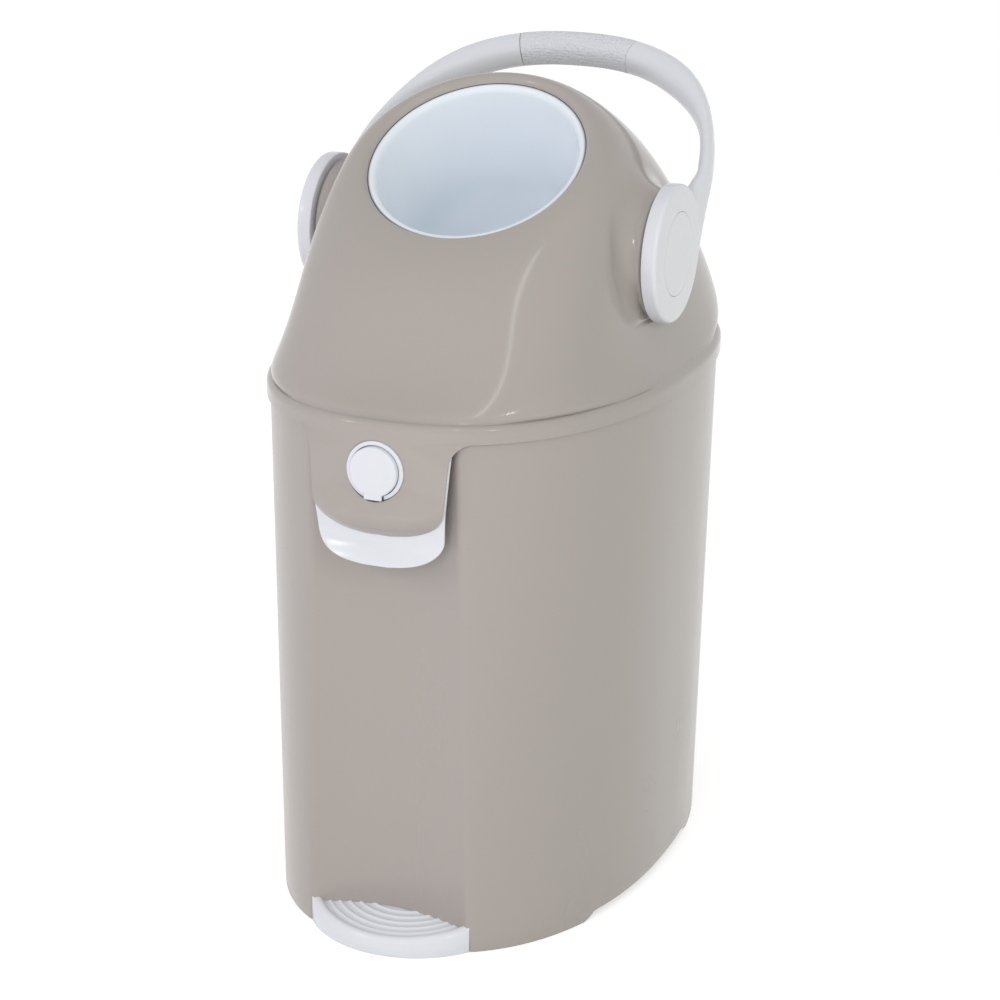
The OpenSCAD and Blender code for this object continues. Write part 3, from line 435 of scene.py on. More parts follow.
def dome_loop(t):
    """The dome's outline, with t from 0 at the band to 1 at the crown."""
    return lid_loop(bez(FRONT_LINE, t), bez(REAR_LINE, t), bez(SIDE_LINE, t), bez(SQUARE_LINE, t))


def cove(start, line, s):
    """A point on the hollow that leads from the band's top into the dome's line."""
    end = bez(line, COVE)
    back = (end - bez(line, COVE + 0.01)).normalized()
    reach = (end - start).length / 2
    flat = Vector((reach if end.x > start.x else -reach, 0))
    return bez([start, start + flat * 0.8, end + back * reach * 0.8, end], s)


def cove_loop(s):
    """The hollow's outline, with s from 0 at the band to 1 at the dome."""
    inner = BAND_A - BAND_ROUND
    return lid_loop(cove(Vector((BAND_FRONT + BAND_ROUND, BAND_TOP)), FRONT_LINE, s),
                    cove(Vector((BAND_REAR - BAND_ROUND, BAND_TOP)), REAR_LINE, s),
                    mix(inner, bez(SIDE_LINE, COVE), s), mix(PLAN_N, bez(SQUARE_LINE, COVE), s))


def dome_rows():
    """Outlines of the whole lid, from the band's base up and over the lip of the mouth."""
    rows = [band_loop(BAND_BASE, 0), band_loop(BAND_BASE + BAND_EDGE, 0),
            band_loop(BAND_TOP - BAND_ROUND - BAND_EDGE, 0)]
    for q in range(0, 91, 15):
        c, s = math.cos(math.radians(q)), math.sin(math.radians(q))
        rows.append(band_loop(BAND_TOP - BAND_ROUND * (1 - s), BAND_ROUND * (1 - c)))
    rows += [cove_loop(i / COVE_STEPS) for i in range(1, COVE_STEPS)]
    rows += [dome_loop(mix(COVE, 1, i / DOME_STEPS)) for i in range(DOME_STEPS + 1)]
    for q in range(98, 167, 8):
        c, s = math.cos(math.radians(q)), math.sin(math.radians(q))
        rows.append(mouth_loop(MOUTH_R + LIP_R * (1 + c), LIP_H + LIP_R * s))
    rows.append(mouth_loop(MOUTH_R, MOUTH_H - DRUM_GAP))
    return rows


# ---- apron and tab --------------------------------------------------------------------
BUTTON_Z, BUTTON_R = 369.2, 17.9
APRON_LOW, APRON_ROOT_HALF = 321.0, 67
BULGE_Z, BULGE_H, BULGE_HALF = 338, 12.5, 60
ROLL_SHARE, ROLL_TOP, ROLL_H = 0.4, 350, 26
FACE_SPREAD, FACE_DROP = 52.3, 13
TAB_LOW, TAB_ROOT, TAB_WALL, TAB_GAP, TAB_COLUMNS = 300.2, 384.0, 2.3, 6.2, 24
TAB_STEP, TAB_STEP_Z, TAB_STEP_H = 4.2, 346, 34
TAB_CURL, TAB_CURL_TOP, TAB_CURL_H = 8.0, 22, 24
SHEET_GAP = 0.3


class Tongue:
    """Outline of a hanging tongue that tapers down to a round end."""
    ROUND = 2.5
    TIP_HALF = 10.0
    ROOT_STEPS, SIDE_STEPS, END_STEPS, END_KEPT = 12, 10, 26, 21

    def __init__(self, half, low, root, curve, taper, sweep=0.0, top_half=0.0):
        self.half, self.low, self.root, self.curve = half, low, root, curve
        self.taper, self.sweep, self.top_half = taper, sweep, top_half
        self.knee = low + curve

    def half_at(self, z):
        """Half width at z, with the upper corners swept out to top_half."""
        if z < self.knee:
            drop = min((self.knee - z) / self.curve, 1)
            return max(self.half * (1 - drop ** self.ROUND) ** (1 / self.ROUND), self.TIP_HALF)
        wide = self.half + self.taper * (z - self.knee)
        if self.sweep <= 0:
            return wide
        q = min(max((z - self.root + self.sweep) / self.sweep, 0), 1)
        return wide + (self.top_half - wide) * (1 - math.sqrt(max(1 - q * q, 0)))

    def rim(self, x, z):
        """How far x, z lies inside the round end: 0 on its edge, 1 at its middle."""
        if z > self.knee:
            return 1.0
        rho = ((abs(x) / self.half) ** self.ROUND
               + ((self.knee - z) / self.curve) ** self.ROUND) ** (1 / self.ROUND)
        return max(1 - rho, 0)

    def heights(self):
        """Heights of the rows. The last but one stays clear of the tip, for its bevel."""
        swept = self.root - self.sweep
        out = [mix(self.root, swept, i / self.ROOT_STEPS) for i in range(self.ROOT_STEPS + 1)]
        out += [mix(swept, self.knee, i / self.SIDE_STEPS) for i in range(1, self.SIDE_STEPS + 1)]
        out += [self.knee - self.curve * math.sin(math.radians(90 * i / self.END_STEPS))
                for i in (*range(1, self.END_KEPT + 1), self.END_STEPS)]
        return out

    def grid(self, top_x, depth):
        """Rows of points from the root down; depth(x, z, rim) gives y."""
        edge = max(top_x)
        rows = []
        for z in self.heights():
            across = [self.half_at(z) * x / edge for x in top_x]
            rows.append([(x, depth(x, z, self.rim(x, z)), z) for x in across])
        return rows


def front_face(x, z):
    """Y of the band's face carried down below the band, where it grows flatter."""
    drop = max(BAND_BASE - z, 0)
    a = BAND_A + FACE_SPREAD * (1 - math.exp(-drop / FACE_DROP))
    return plan_y(x, a, BAND_B, BAND_YC)


def apron_y(x, z, rim, sizes):
    """The apron's face: swollen below the button, and rolled in at its lower rim."""
    swell = math.exp(-((z - BULGE_Z) / BULGE_H) ** 2) * (1 - (x / BULGE_HALF) ** 2)
    y = front_face(x, z) - sizes.apron_bulge / MM * swell
    if rim < ROLL_SHARE:
        low = smooth((ROLL_TOP - z) / ROLL_H)
        y += sizes.apron_roll / MM * low * (1 - rim / ROLL_SHARE) ** 2
    return y


def tab_y(x, z, rim):
    """The tab's face: behind the apron, stepped back, and curled forward at its lip. The
    step and the curl follow the height; rim is there because grid() gives it."""
    back = TAB_STEP * smooth((TAB_STEP_Z - z) / TAB_STEP_H)
    curl = TAB_CURL * smooth((TAB_LOW + TAB_CURL_TOP - z) / TAB_CURL_H) ** 1.5
    return front_face(x, z) + LID_WALL + SHEET_GAP + back - curl


# ---- pieces ---------------------------------------------------------------------------
FOOT_PADS = ((92, 150), (-92, 150), (96, -134), (-96, -134))
PAD_R = 9
RIB_Z, RIB_PITCH, RIB_HALF_X, RIB_HALF_Y = 4, 60, 90, 150
FOOT_EDGE, RIM_EDGE, FLOOR_CORNER = 0.3, 0.7, 6
HINGE = Vector((232.0, 388.0))
KNUCKLE_HALF, KNUCKLE_GAP = 22.0, 0.5
LUG_W, LUG_R, LUG_DROP, LUG_SINK = 10.0, 5.5, 24, 1.5


class NAPPY_OT_pail(bpy.types.Operator):
    """Model the pail with its front channel, rim, feet, floor ribs and hinge lugs"""
    bl_idname = "nappy_bin.pail"
    bl_label = "Pail"

    def execute(self, context):
        fillet = context.scene.bin_sizes.channel_fillet / MM
        rows = [pail_loop(z, inset, fillet, on_floor) for z, inset, on_floor in pail_levels()]
        pail = tidy(skin("pail", rows))
        close_ends(pail)
        extras = []
        outline = [(0, 0), (PAD_R - 1, 0), (PAD_R, 1), (PAD_R, FLOOR_Z + 1), (0, FLOOR_Z + 1)]
        for x, y in FOOT_PADS:
            pad = turned("foot_pad", outline, 48)
            extras.append(lay(pad, Matrix.Translation((x * MM, y * MM, 0))))
        top = FLOOR_Z + 0.5
        for y in range(-2 * RIB_PITCH, 2 * RIB_PITCH + 1, RIB_PITCH):
            extras.append(bar("rib", (-RIB_HALF_X, y - 1, RIB_Z), (RIB_HALF_X, y + 1, top)))
        extras.append(bar("rib", (-1, -RIB_HALF_Y, RIB_Z), (1, RIB_HALF_Y, top)))
        for side in (-1, 1):
            extras.append(hinge_lug(side))
        join(pail, *extras)
        hand_over(pail, "pail", ["pail_body"], finish("taupe_satin"))
        return {"FINISHED"}


def pail_levels():
    """Height, inset and whether the loop stands on the floor, from the floor's underside
    round the foot edge, up the outside, over the rim and down to the inner floor."""
    inner = RIM_STEP + WALL
    foot = [(1.0, WALL), (FOOT_EDGE, WALL - FOOT_EDGE), (0, WALL - 0.9), (0, 0.9),
            (FOOT_EDGE, FOOT_EDGE), (1.0, 0)]
    rim = [(SEAM_Z - 0.5, 0), (SEAM_Z, 0.4), (SEAM_Z, RIM_STEP), (RIM_Z - RIM_EDGE, RIM_STEP),
           (RIM_Z, RIM_STEP + RIM_EDGE), (RIM_Z, inner - RIM_EDGE), (RIM_Z - RIM_EDGE, inner),
           (SEAM_Z, inner), (SEAM_Z - 6, WALL)]
    floor = FLOOR_Z + WALL
    outside = [(z, 0) for z in (12, 60, 120, 180, 240, 300, 350, 385)]
    inside = [(z, WALL) for z in (300, 200, 100, floor + FLOOR_CORNER)]
    corner = [(floor + 1.8, WALL + 1.8), (floor, WALL + FLOOR_CORNER)]
    return ([(FLOOR_Z, WALL, False)] + [(z, inset, True) for z, inset in foot]
            + [(z, inset, False) for z, inset in outside + rim + inside + corner])


def side_plate(name, points, x0, x1):
    """The hull of points in Y and Z, extruded in X from x0 to x1, with rounded edges."""
    hull = geometry.convex_hull_2d([Vector(p) for p in points])
    obj = plate(name, [points[i] for i in hull], x1 - x0)
    carve(obj, "BEVEL", width=0.8 * MM, segments=3, limit_method="ANGLE",
          angle_limit=math.radians(50))
    turn = Matrix(((0, 0, 1, x0 * MM), (1, 0, 0, 0), (0, 1, 0, 0), (0, 0, 0, 1)))
    return lay(obj, turn)


def hinge_lug(side):
    """An eye that carries the hinge pin beside the knuckle, rooted in the pail's rear wall."""
    near = KNUCKLE_HALF + KNUCKLE_GAP
    x0 = near if side > 0 else -near - LUG_W
    front_y = plan_y(near + LUG_W, half_w(SEAM_Z), half_len(SEAM_Z), SHIFT_SEAM)
    wall_y = 2 * SHIFT_SEAM - front_y - LUG_SINK
    points = arc(HINGE.x, HINGE.y, LUG_R, 0, 350, 35)
    points += [(wall_y, HINGE.y), (wall_y, HINGE.y - LUG_DROP),
               (wall_y + LUG_SINK, HINGE.y - LUG_DROP)]
    return side_plate("hinge_lug", points, x0, x0 + LUG_W)


BOSS_R, BOSS_X, BOSS_SINK, BOSS_ROUND, BOSS_WALL = 47.0, 129.0, 3.5, 2.0, 2.2
BOSS_STEPS, FILLET_STEPS, FILLET_SLOPE = 120, 12, 1.1
BUSH_BORE, BUSH_STEP = 13.1, 14.5
BEZEL_GAP = 3.9


class NAPPY_OT_lid(bpy.types.Operator):
    """Model the domed lid with its band, apron, mouth lip, shoulder bosses and knuckle"""
    bl_idname = "nappy_bin.lid"
    bl_label = "Lid"

    def execute(self, context):
        sizes = context.scene.bin_sizes
        rows = dome_rows()
        dome = tidy(skin("dome", rows))
        cast = BVHTree.FromObject(dome, context.evaluated_depsgraph_get())
        shell = tidy(join(dome, apron(rows[0], sizes)))
        carve(shell, "SOLIDIFY", thickness=LID_WALL * MM, offset=-1)
        carve(shell, "BEVEL", width=sizes.edge_round, segments=3, limit_method="ANGLE",
              angle_limit=math.radians(55))
        bore_for_button(shell, BUTTON_R + BEZEL_GAP, 8)
        bosses = [boss(side, cast, sizes.boss_fillet / MM) for side in (-1, 1)]
        lid = join(shell, *bosses, lid_knuckle())
        lid.name = lid.data.name = "lid"
        hand_over(lid, "lid", ["lid_dome"], finish("taupe_gloss"))
        return {"FINISHED"}


def apron(base, sizes):
    """The tongue that hangs from the band; its top row has the points of the band's base."""
    middle = [p for p in base[:LID_STEPS // 4] if p[0] <= APRON_ROOT_HALF]
    top_x = [-p[0] for p in reversed(middle[1:])] + [p[0] for p in middle]
    tongue = Tongue(half=50.0, low=APRON_LOW, root=BAND_BASE, curve=27.0, taper=0.08,
                    sweep=15.0, top_half=max(top_x))
    grid = tongue.grid(top_x, lambda x, z, rim: apron_y(x, z, rim, sizes))
    grid[0] = [(x, plan_y(x, BAND_A, BAND_B, BAND_YC), BAND_BASE) for x in top_x]
    return skin("apron", grid)


def on_button():
    """Places a piece that was turned about +Z on the button's axis, facing forward."""
    return (Matrix.Translation((0, (BAND_FRONT + 1.2) * MM, BUTTON_Z * MM))
            @ Matrix.Rotation(math.pi / 2, 4, "X"))


def bore_for_button(obj, r, depth):
    """Bores a round hole about the button through a sheet."""
    hole = turned("hole", [(0, -depth), (r, -depth), (r, 30), (0, 30)], 96)
    cut(heal(obj), lay(hole, on_button()))


def boss(side, cast, fillet):
    """A shoulder boss whose fillet runs out on the dome that cast stands for."""
    def dome_x(r, q):
        """How far out the dome lies, r from the axle at the angle q."""
        origin = Vector((0, AXLE.x + r * math.cos(q), AXLE.y + r * math.sin(q))) * MM
        origin.x = side * 0.3
        hit = cast.ray_cast(origin, Vector((-side, 0, 0)))[0]
        return min(side * hit.x / MM, BOSS_X - BOSS_SINK)

    columns = []
    for i in range(BOSS_STEPS + 1):
        q = 2 * math.pi * i / BOSS_STEPS
        at = dome_x(BOSS_R + fillet, q)
        slope = (dome_x(BOSS_R + fillet - 2, q) - at) / 2
        columns.append([(side * x, AXLE.x + r * math.cos(q), AXLE.y + r * math.sin(q))
                        for r, x in boss_profile(fillet, at, slope)])
    obj = tidy(from_columns("boss", columns))
    outward_from_axle(obj, side)
    carve(obj, "SOLIDIFY", thickness=BOSS_WALL * MM, offset=-1)
    return obj


def boss_profile(fillet, at, slope):
    """Radius and distance out from the fillet's foot on the dome to the bush in the end face."""
    foot = Vector((BOSS_R + fillet, at))
    rise = min(slope * fillet + fillet * FILLET_SLOPE, BOSS_X - 2.5 - at)
    head = Vector((BOSS_R, at + max(rise, 0.5)))
    # The curve leaves the dome along its slope and ends almost upright on the boss.
    line = [foot, foot + Vector((-fillet * 0.5, slope * fillet * 0.5)),
            head + Vector((fillet * 0.12, (at - head.y) * 0.5)), head]
    points = [foot + Vector((0.5, -1.8))]
    points += [bez(line, k / FILLET_STEPS) for k in range(FILLET_STEPS + 1)]
    points.append((BOSS_R, BOSS_X - BOSS_ROUND))
    for a in (22, 45, 68, 90):
        c, s = math.cos(math.radians(a)), math.sin(math.radians(a))
        points.append((BOSS_R - BOSS_ROUND + BOSS_ROUND * c, BOSS_X - BOSS_ROUND + BOSS_ROUND * s))
    return points + [(30, BOSS_X), (BUSH_STEP, BOSS_X), (BUSH_BORE, BOSS_X - 0.6)]


def outward_from_axle(obj, side):
    """Flips an open shell whose end face doesn't look away from the middle."""
    face = max(obj.data.polygons, key=lambda p: side * p.center.x)
    if side * face.normal.x < 0:
        obj.data.flip_normals()


def lid_knuckle():
    """The lid's part of the hinge, rooted in the rear of the band."""
    points = arc(HINGE.x, HINGE.y, LUG_R - 0.3, 0, 350, 35)
    root = BAND_REAR - 1.9
    points += [(root, HINGE.y + 3.8), (root, HINGE.y + 13)]
    return side_plate("knuckle", points, -KNUCKLE_HALF, KNUCKLE_HALF)


class NAPPY_OT_tab(bpy.types.Operator):
    """Model the lift tab behind the apron"""
    bl_idname = "nappy_bin.tab"
    bl_label = "Lift tab"

    def execute(self, context):
        tongue = Tongue(half=48.4, low=TAB_LOW, root=TAB_ROOT, curve=23.0, taper=0.084)
        top_x = [2 * k / TAB_COLUMNS - 1 for k in range(TAB_COLUMNS + 1)]
        tab = tidy(skin("tab_plate", tongue.grid(top_x, tab_y)))
        face_forward(tab)
        carve(tab, "SOLIDIFY", thickness=TAB_WALL * MM, offset=-1)
        carve(tab, "BEVEL", width=0.8 * MM, segments=3, limit_method="ANGLE",
              angle_limit=math.radians(60))
        bore_for_button(tab, BUTTON_R + TAB_GAP, 12)
        hand_over(tab, "lid", ["lift_tab"], finish("white_gloss"))
        return {"FINISHED"}


def face_forward(obj):
    """Flips an open sheet that doesn't look to the front."""
    if sum(p.normal.y * p.area for p in obj.data.polygons) > 0:
        obj.data.flip_normals()


BEZEL_R, TUBE_R, CUP_R = BUTTON_R + 3.6, BUTTON_R + 1.9, BUTTON_R + 0.5
CUP_FLOOR, CUP_WALL = -12, 1.5
NOTCH_HALF, TONGUE_HALF = 7.3, 6.8
BUTTON_FACE, BUTTON_WALL, BUTTON_ROUND = 5.6, 1.8, 1.3
EAR_X, EAR_HALF, EAR_Y, EAR_Z = 10.5, 1.5, (-18.5, -10.5), (-21.4, -11)


class NAPPY_OT_button(bpy.types.Operator):
    """Model the bezel, with the ears that hold the hook's pin, and the push button"""
    bl_idname = "nappy_bin.button"
    bl_label = "Button"

    def execute(self, context):
        bezel = turned("bezel", self.ring(), 128)
        cut(bezel, bar("notch", (-NOTCH_HALF, -BEZEL_R - 3, -0.8), (NOTCH_HALF, -CUP_R + 3, 10), 0))
        ears = [bar("ear", (x - EAR_HALF, EAR_Y[0], EAR_Z[0]),
                    (x + EAR_HALF, EAR_Y[1], EAR_Z[1]), 0.5) for x in (-EAR_X, EAR_X)]
        bezel = join(lay(bezel, on_button()), *[lay(ear, on_button()) for ear in ears])
        hand_over(bezel, "lid", ["button_bezel"], finish("white_gloss"))

        button = turned("button", self.disc(), 128)
        tongue = bar("tongue", (-TONGUE_HALF, -BEZEL_R + 1.2, BUTTON_FACE - 1.7),
                     (TONGUE_HALF, -BUTTON_R + 3, BUTTON_FACE - 0.1), 0)
        carve(tongue, "BEVEL", width=0.75 * MM, segments=4, limit_method="NONE")
        button = lay(join(button, tongue), on_button())
        hand_over(button, "button", ["latch_button"], finish("white_gloss"))
        return {"FINISHED"}

    def ring(self):
        """Section of the bezel: a rounded collar with a tube and a cup floor behind it."""
        inside = CUP_FLOOR + CUP_WALL
        ring = [(CUP_R, -9.5)] + arc(CUP_R + 0.7, 1.5, 0.7, 180, 90, 5)
        ring += arc(BEZEL_R - 1.1, 1.1, 1.1, 90, 0, 6)
        ring += [(BEZEL_R, -0.6), (TUBE_R, -0.6), (TUBE_R, CUP_FLOOR)]
        return ring + [(3.4, CUP_FLOOR), (3.4, inside), (CUP_R - 1, inside)]

    def disc(self):
        """Section of the button: a slightly crowned cap with a stem in its middle."""
        under, r = BUTTON_FACE - 1.9, BUTTON_R - BUTTON_WALL
        disc = [(0, BUTTON_FACE + 0.25), (8, BUTTON_FACE + 0.2), (14, BUTTON_FACE + 0.05)]
        disc += arc(BUTTON_R - BUTTON_ROUND, BUTTON_FACE - BUTTON_ROUND, BUTTON_ROUND, 90, 0, 6)
        disc += [(BUTTON_R, BUTTON_FACE - 10), (r, BUTTON_FACE - 10), (r, under)]
        return disc + [(3, under), (3, -11.7), (2.1, -13.8), (0, -14.7)]


REST_REACH, REST_H, REST_DROP, REST_GAP, REST_WALL = 31.0, 20.0, 6.0, 0.6, 2.2
REST_ROUND, REST_EDGE, REST_SEAT_Z, REST_STEPS = 3.4, 3.6, 16, 128
DISH_DEPTH, DISH_EDGE = 3.6, 4.6
RIDGES, RIDGE_FIRST, RIDGE_PITCH, RIDGE_HALF = 5, 12.6, 6.4, 1.9


class NAPPY_OT_foot_rest(bpy.types.Operator):
    """Model the foot rest with its dished, ribbed top"""
    bl_idname = "nappy_bin.foot_rest"
    bl_label = "Foot rest"

    def execute(self, context):
        rib = context.scene.bin_sizes.rib_height / MM
        corner_y = plan_y(CHANNEL_FLOOR, half_w(0), half_len(0), shift_y(0))
        radius = (CHANNEL_FLOOR ** 2 + REST_REACH ** 2) / (2 * REST_REACH)
        centre_y = corner_y - REST_REACH + radius
        edge = math.asin(CHANNEL_FLOOR / radius)

        def back(q):
            """Radius at which a ray from the arc's centre meets the channel."""
            near, far = 20.0, radius
            for _ in range(40):
                r = (near + far) / 2
                x, y = r * math.sin(q), centre_y - r * math.cos(q)
                if y < channel_face(x, REST_SEAT_Z) + REST_GAP:
                    far = r
                else:
                    near = r
            return (near + far) / 2

        def top(y):
            """Height of the sloping top."""
            return REST_H - REST_DROP * (corner_y - y) / REST_REACH

        def dish(rho):
            """Depth of the dish below the sloping top, at rho inside the front edge."""
            deep = DISH_DEPTH * smooth((rho - DISH_EDGE) / DISH_EDGE)
            for k in range(RIDGES):
                at = RIDGE_FIRST + RIDGE_PITCH * k
                deep -= rib * smooth(1 - abs(rho - at) / RIDGE_HALF)
            return deep

        rhos = [0, 0.25, 0.8, 1.6, 2.6] + [REST_EDGE + 0.65 * k for k in range(62)]
        columns = []
        for i in range(REST_STEPS + 1):
            q = mix(-edge, edge, i / REST_STEPS)
            rear = back(q)
            front = top(centre_y - radius * math.cos(q)) - REST_ROUND
            face = [(radius - 0.6, 0.0), (radius, 0.8), (radius, front)]
            column = [(r * math.sin(q), centre_y - r * math.cos(q), z) for r, z in face]
            for rho in rhos:
                r = max(radius - rho, rear)
                y = centre_y - r * math.cos(q)
                soft = REST_ROUND * max(1 - rho / REST_EDGE, 0) ** 2.2
                column.append((r * math.sin(q), y, top(y) - soft - dish(radius - r)))
            columns.append(column)
        rest = tidy(from_columns("foot_plate", columns))
        carve(rest, "SOLIDIFY", thickness=REST_WALL * MM, offset=-1)
        hand_over(rest, "pail", ["foot_rest"], finish("white_gloss"), 50)
        return {"FINISHED"}


DRUM_HALF, DRUM_WALL, DRUM_MOUTH = 104, 2.5, 80.4
BOWL_R, BOWL_FLOOR_R, BOWL_WALL, BOWL_FLAT = 77.3, 68, 2.5, 0.86
BOWL_TOP, BOWL_DEEP = 73, -6


class NAPPY_OT_drum(bpy.types.Operator):
    """Model the round drum shell that turns behind the mouth"""
    bl_idname = "nappy_bin.drum"
    bl_label = "Drum"

    def execute(self, context):
        inner_r = DRUM_R - DRUM_WALL
        mouth = math.degrees(math.acos(DRUM_MOUTH / DRUM_R))
        outer = arc(0, 0, DRUM_R, mouth, -90, 56)
        inner = arc(0, 0, inner_r, -90, mouth, 56)
        outer[-1], inner[0] = (0, -DRUM_R), (0, -inner_r)
        drum = lay(turned("drum", outer + inner, 144), ON_MOUTH)
        take(drum)
        for side in (-1, 1):
            bpy.ops.object.mode_set(mode="EDIT")
            bpy.ops.mesh.select_all(action="SELECT")
            bpy.ops.mesh.bisect(plane_co=(side * DRUM_HALF * MM, 0, 0), plane_no=(side, 0, 0),
                                clear_outer=True, use_fill=True)
            bpy.ops.object.mode_set(mode="OBJECT")
        hand_over(drum, "drum", ["drum_shell"], finish("white_gloss"))
        return {"FINISHED"}


class NAPPY_OT_bowl(bpy.types.Operator):
    """Model the bowl that hangs in the mouth of the drum"""
    bl_idname = "nappy_bin.bowl"
    bl_label = "Bowl"

    def execute(self, context):
        over = [Vector((80.0, 78.1)), Vector((78.9, 79.3)), Vector((75.3, 78.0)),
                Vector((BOWL_R - BOWL_WALL, BOWL_TOP))]
        rim = [tuple(bez(over, k / 10)) for k in range(9, -1, -1)] + [(79.9, 77.7), (77.6, 75.3)]
        profile = rim + self.wall(0) + list(reversed(self.wall(BOWL_WALL)))
        bowl = lay(turned("bowl_cup", profile, 144), ON_MOUTH)
        hand_over(bowl, "drum", ["bowl"], finish("bowl_gloss"), 50)
        return {"FINISHED"}

    def wall(self, inset):
        """Section of the bowl from its rim to the middle of its round bottom."""
        r0, rb = BOWL_R - inset, BOWL_FLOOR_R - inset
        side = [Vector((r0, BOWL_TOP)), Vector((r0 - 2.6, 46)), Vector((rb + 0.5, 26)),
                Vector((rb, BOWL_DEEP))]
        points = [tuple(bez(side, k / 12)) for k in range(12)]
        for k in range(24):
            q = math.radians(90 * k / 24)
            points.append((rb * math.cos(q), BOWL_DEEP - rb * math.sin(q) * BOWL_FLAT))
        return points + [(0, BOWL_DEEP - rb * BOWL_FLAT)]


# ---- handle ---------------------------------------------------------------------------
# The bow is laid out upright on the axle, with Z along its arms and Y towards its rear, and
# is then leaned back. Angles q run along the arch, from 0 at the right foot to 180 degrees.
# The arm's flare and shift run out at two such angles, and it swells to the grip after them.
HUB_IN, HUB_OUT, HUB_R, HUB_ROUND = 130.8, 142.4, 51.0, 3.2
CAP_R, CAP_SEAT, CAP_GAP = 31.0, 1.8, 0.15
LEAN = math.radians(55)
ON_HANDLE = Matrix.Translation((0, AXLE.x * MM, AXLE.y * MM)) @ Matrix.Rotation(-LEAN, 4, "X")
ARCH_HALF, ARCH_FOOT, ARCH_REACH, ARCH_N = 141.0, 40.0, 204.2, 2.35
ARM_T, ARM_W, ARM_FLARE, ARM_SHIFT = 10.6, 21.5, 3, 5.5
FLARE_END, SHIFT_END, SWELL_START, SWELL_LONG = 22, 20, 22, 38
GRIP_T, GRIP_HALF, CORE_INSET = 24.5, 47.0, 2.4
RING_STEPS, GRIP_STEPS = 40, 60


def arch_at(q):
    """X and Z of the arch's centre line."""
    c, s = math.cos(math.radians(q)), math.sin(math.radians(q))
    return Vector((ARCH_HALF * spow(c, 2 / ARCH_N),
                   ARCH_FOOT + (ARCH_REACH - ARCH_FOOT) * max(s, 0) ** (2 / ARCH_N)))


def arch_section(q, less=0.0):
    """A ring round the arch's centre line, thinned by less: flat at the feet, round on top."""
    ahead = (arch_at(q + 0.3) - arch_at(q - 0.3)).normalized()
    up = min(q, 180 - q)
    blend = smooth((up - SWELL_START) / SWELL_LONG)
    t = mix(ARM_T, GRIP_T, blend) / 2 - less
    flare = ARM_FLARE * max(1 - up / FLARE_END, 0) ** 2
    w = mix(ARM_W, GRIP_T + 1, blend) / 2 + flare - less
    return ring_about(arch_at(q), ahead, t, w, shift=ARM_SHIFT * max(1 - up / SHIFT_END, 0) ** 2)


def ring_about(centre, ahead, t, w, square=0.86, shift=0.0):
    """A rounded ring across the direction ahead, with half sizes t and w."""
    ring = []
    for j in range(RING_STEPS + 1):
        a = 2 * math.pi * j / RING_STEPS
        u, v = spow(math.cos(a), square) * t, spow(math.sin(a), square) * w + shift
        ring.append(Vector((centre.x + ahead.y * u, v, centre.y - ahead.x * u)))
    return ring


def grip_edge():
    """Angle at which the grip's right end lies."""
    return math.degrees(math.acos((GRIP_HALF / ARCH_HALF) ** (ARCH_N / 2)))


def arm_root():
    """Rings that flare the right arm into the rear of its hub disc."""
    middle = (HUB_IN + HUB_OUT) / 2
    keys = [(middle, 14, 4.6, -8, 44.0, 0.3), (middle, 26, 4.9, -11, 42.5, 0.34),
            (middle + 0.2, 38, 5.1, -12, 39.6, 0.4), (middle + 0.6, 50, 5.2, -12.4, 31.5, 0.5),
            (middle + 1.6, 62, 5.3, -12.0, 22.6, 0.66)]
    return [ring_about(Vector((x, up)), Vector((0, 1)), t, (rear - front) / 2,
                       square=square, shift=(rear + front) / 2)
            for x, up, t, front, rear, square in keys]


def through(rings, steps):
    """Rings laid on a smooth curve through the given rings."""
    out = []
    last = len(rings) - 1
    for k in range(last):
        a, b = rings[max(k - 1, 0)], rings[k]
        c, d = rings[k + 1], rings[min(k + 2, last)]
        for i in range(steps):
            t = i / steps
            out.append([0.5 * (2 * q + (r - p) * t + (2 * p - 5 * q + 4 * r - s) * t * t
                               + (3 * q - p - 3 * r + s) * t ** 3)
                        for p, q, r, s in zip(a, b, c, d)])
    out.append(rings[-1])
    return out


def mirrored(ring):
    """The same ring on the left, with its points in the order that joins up."""
    flipped = [Vector((-p.x, p.y, p.z)) for p in ring]
    return [flipped[(RING_STEPS // 2 - j) % RING_STEPS] for j in range(RING_STEPS + 1)]


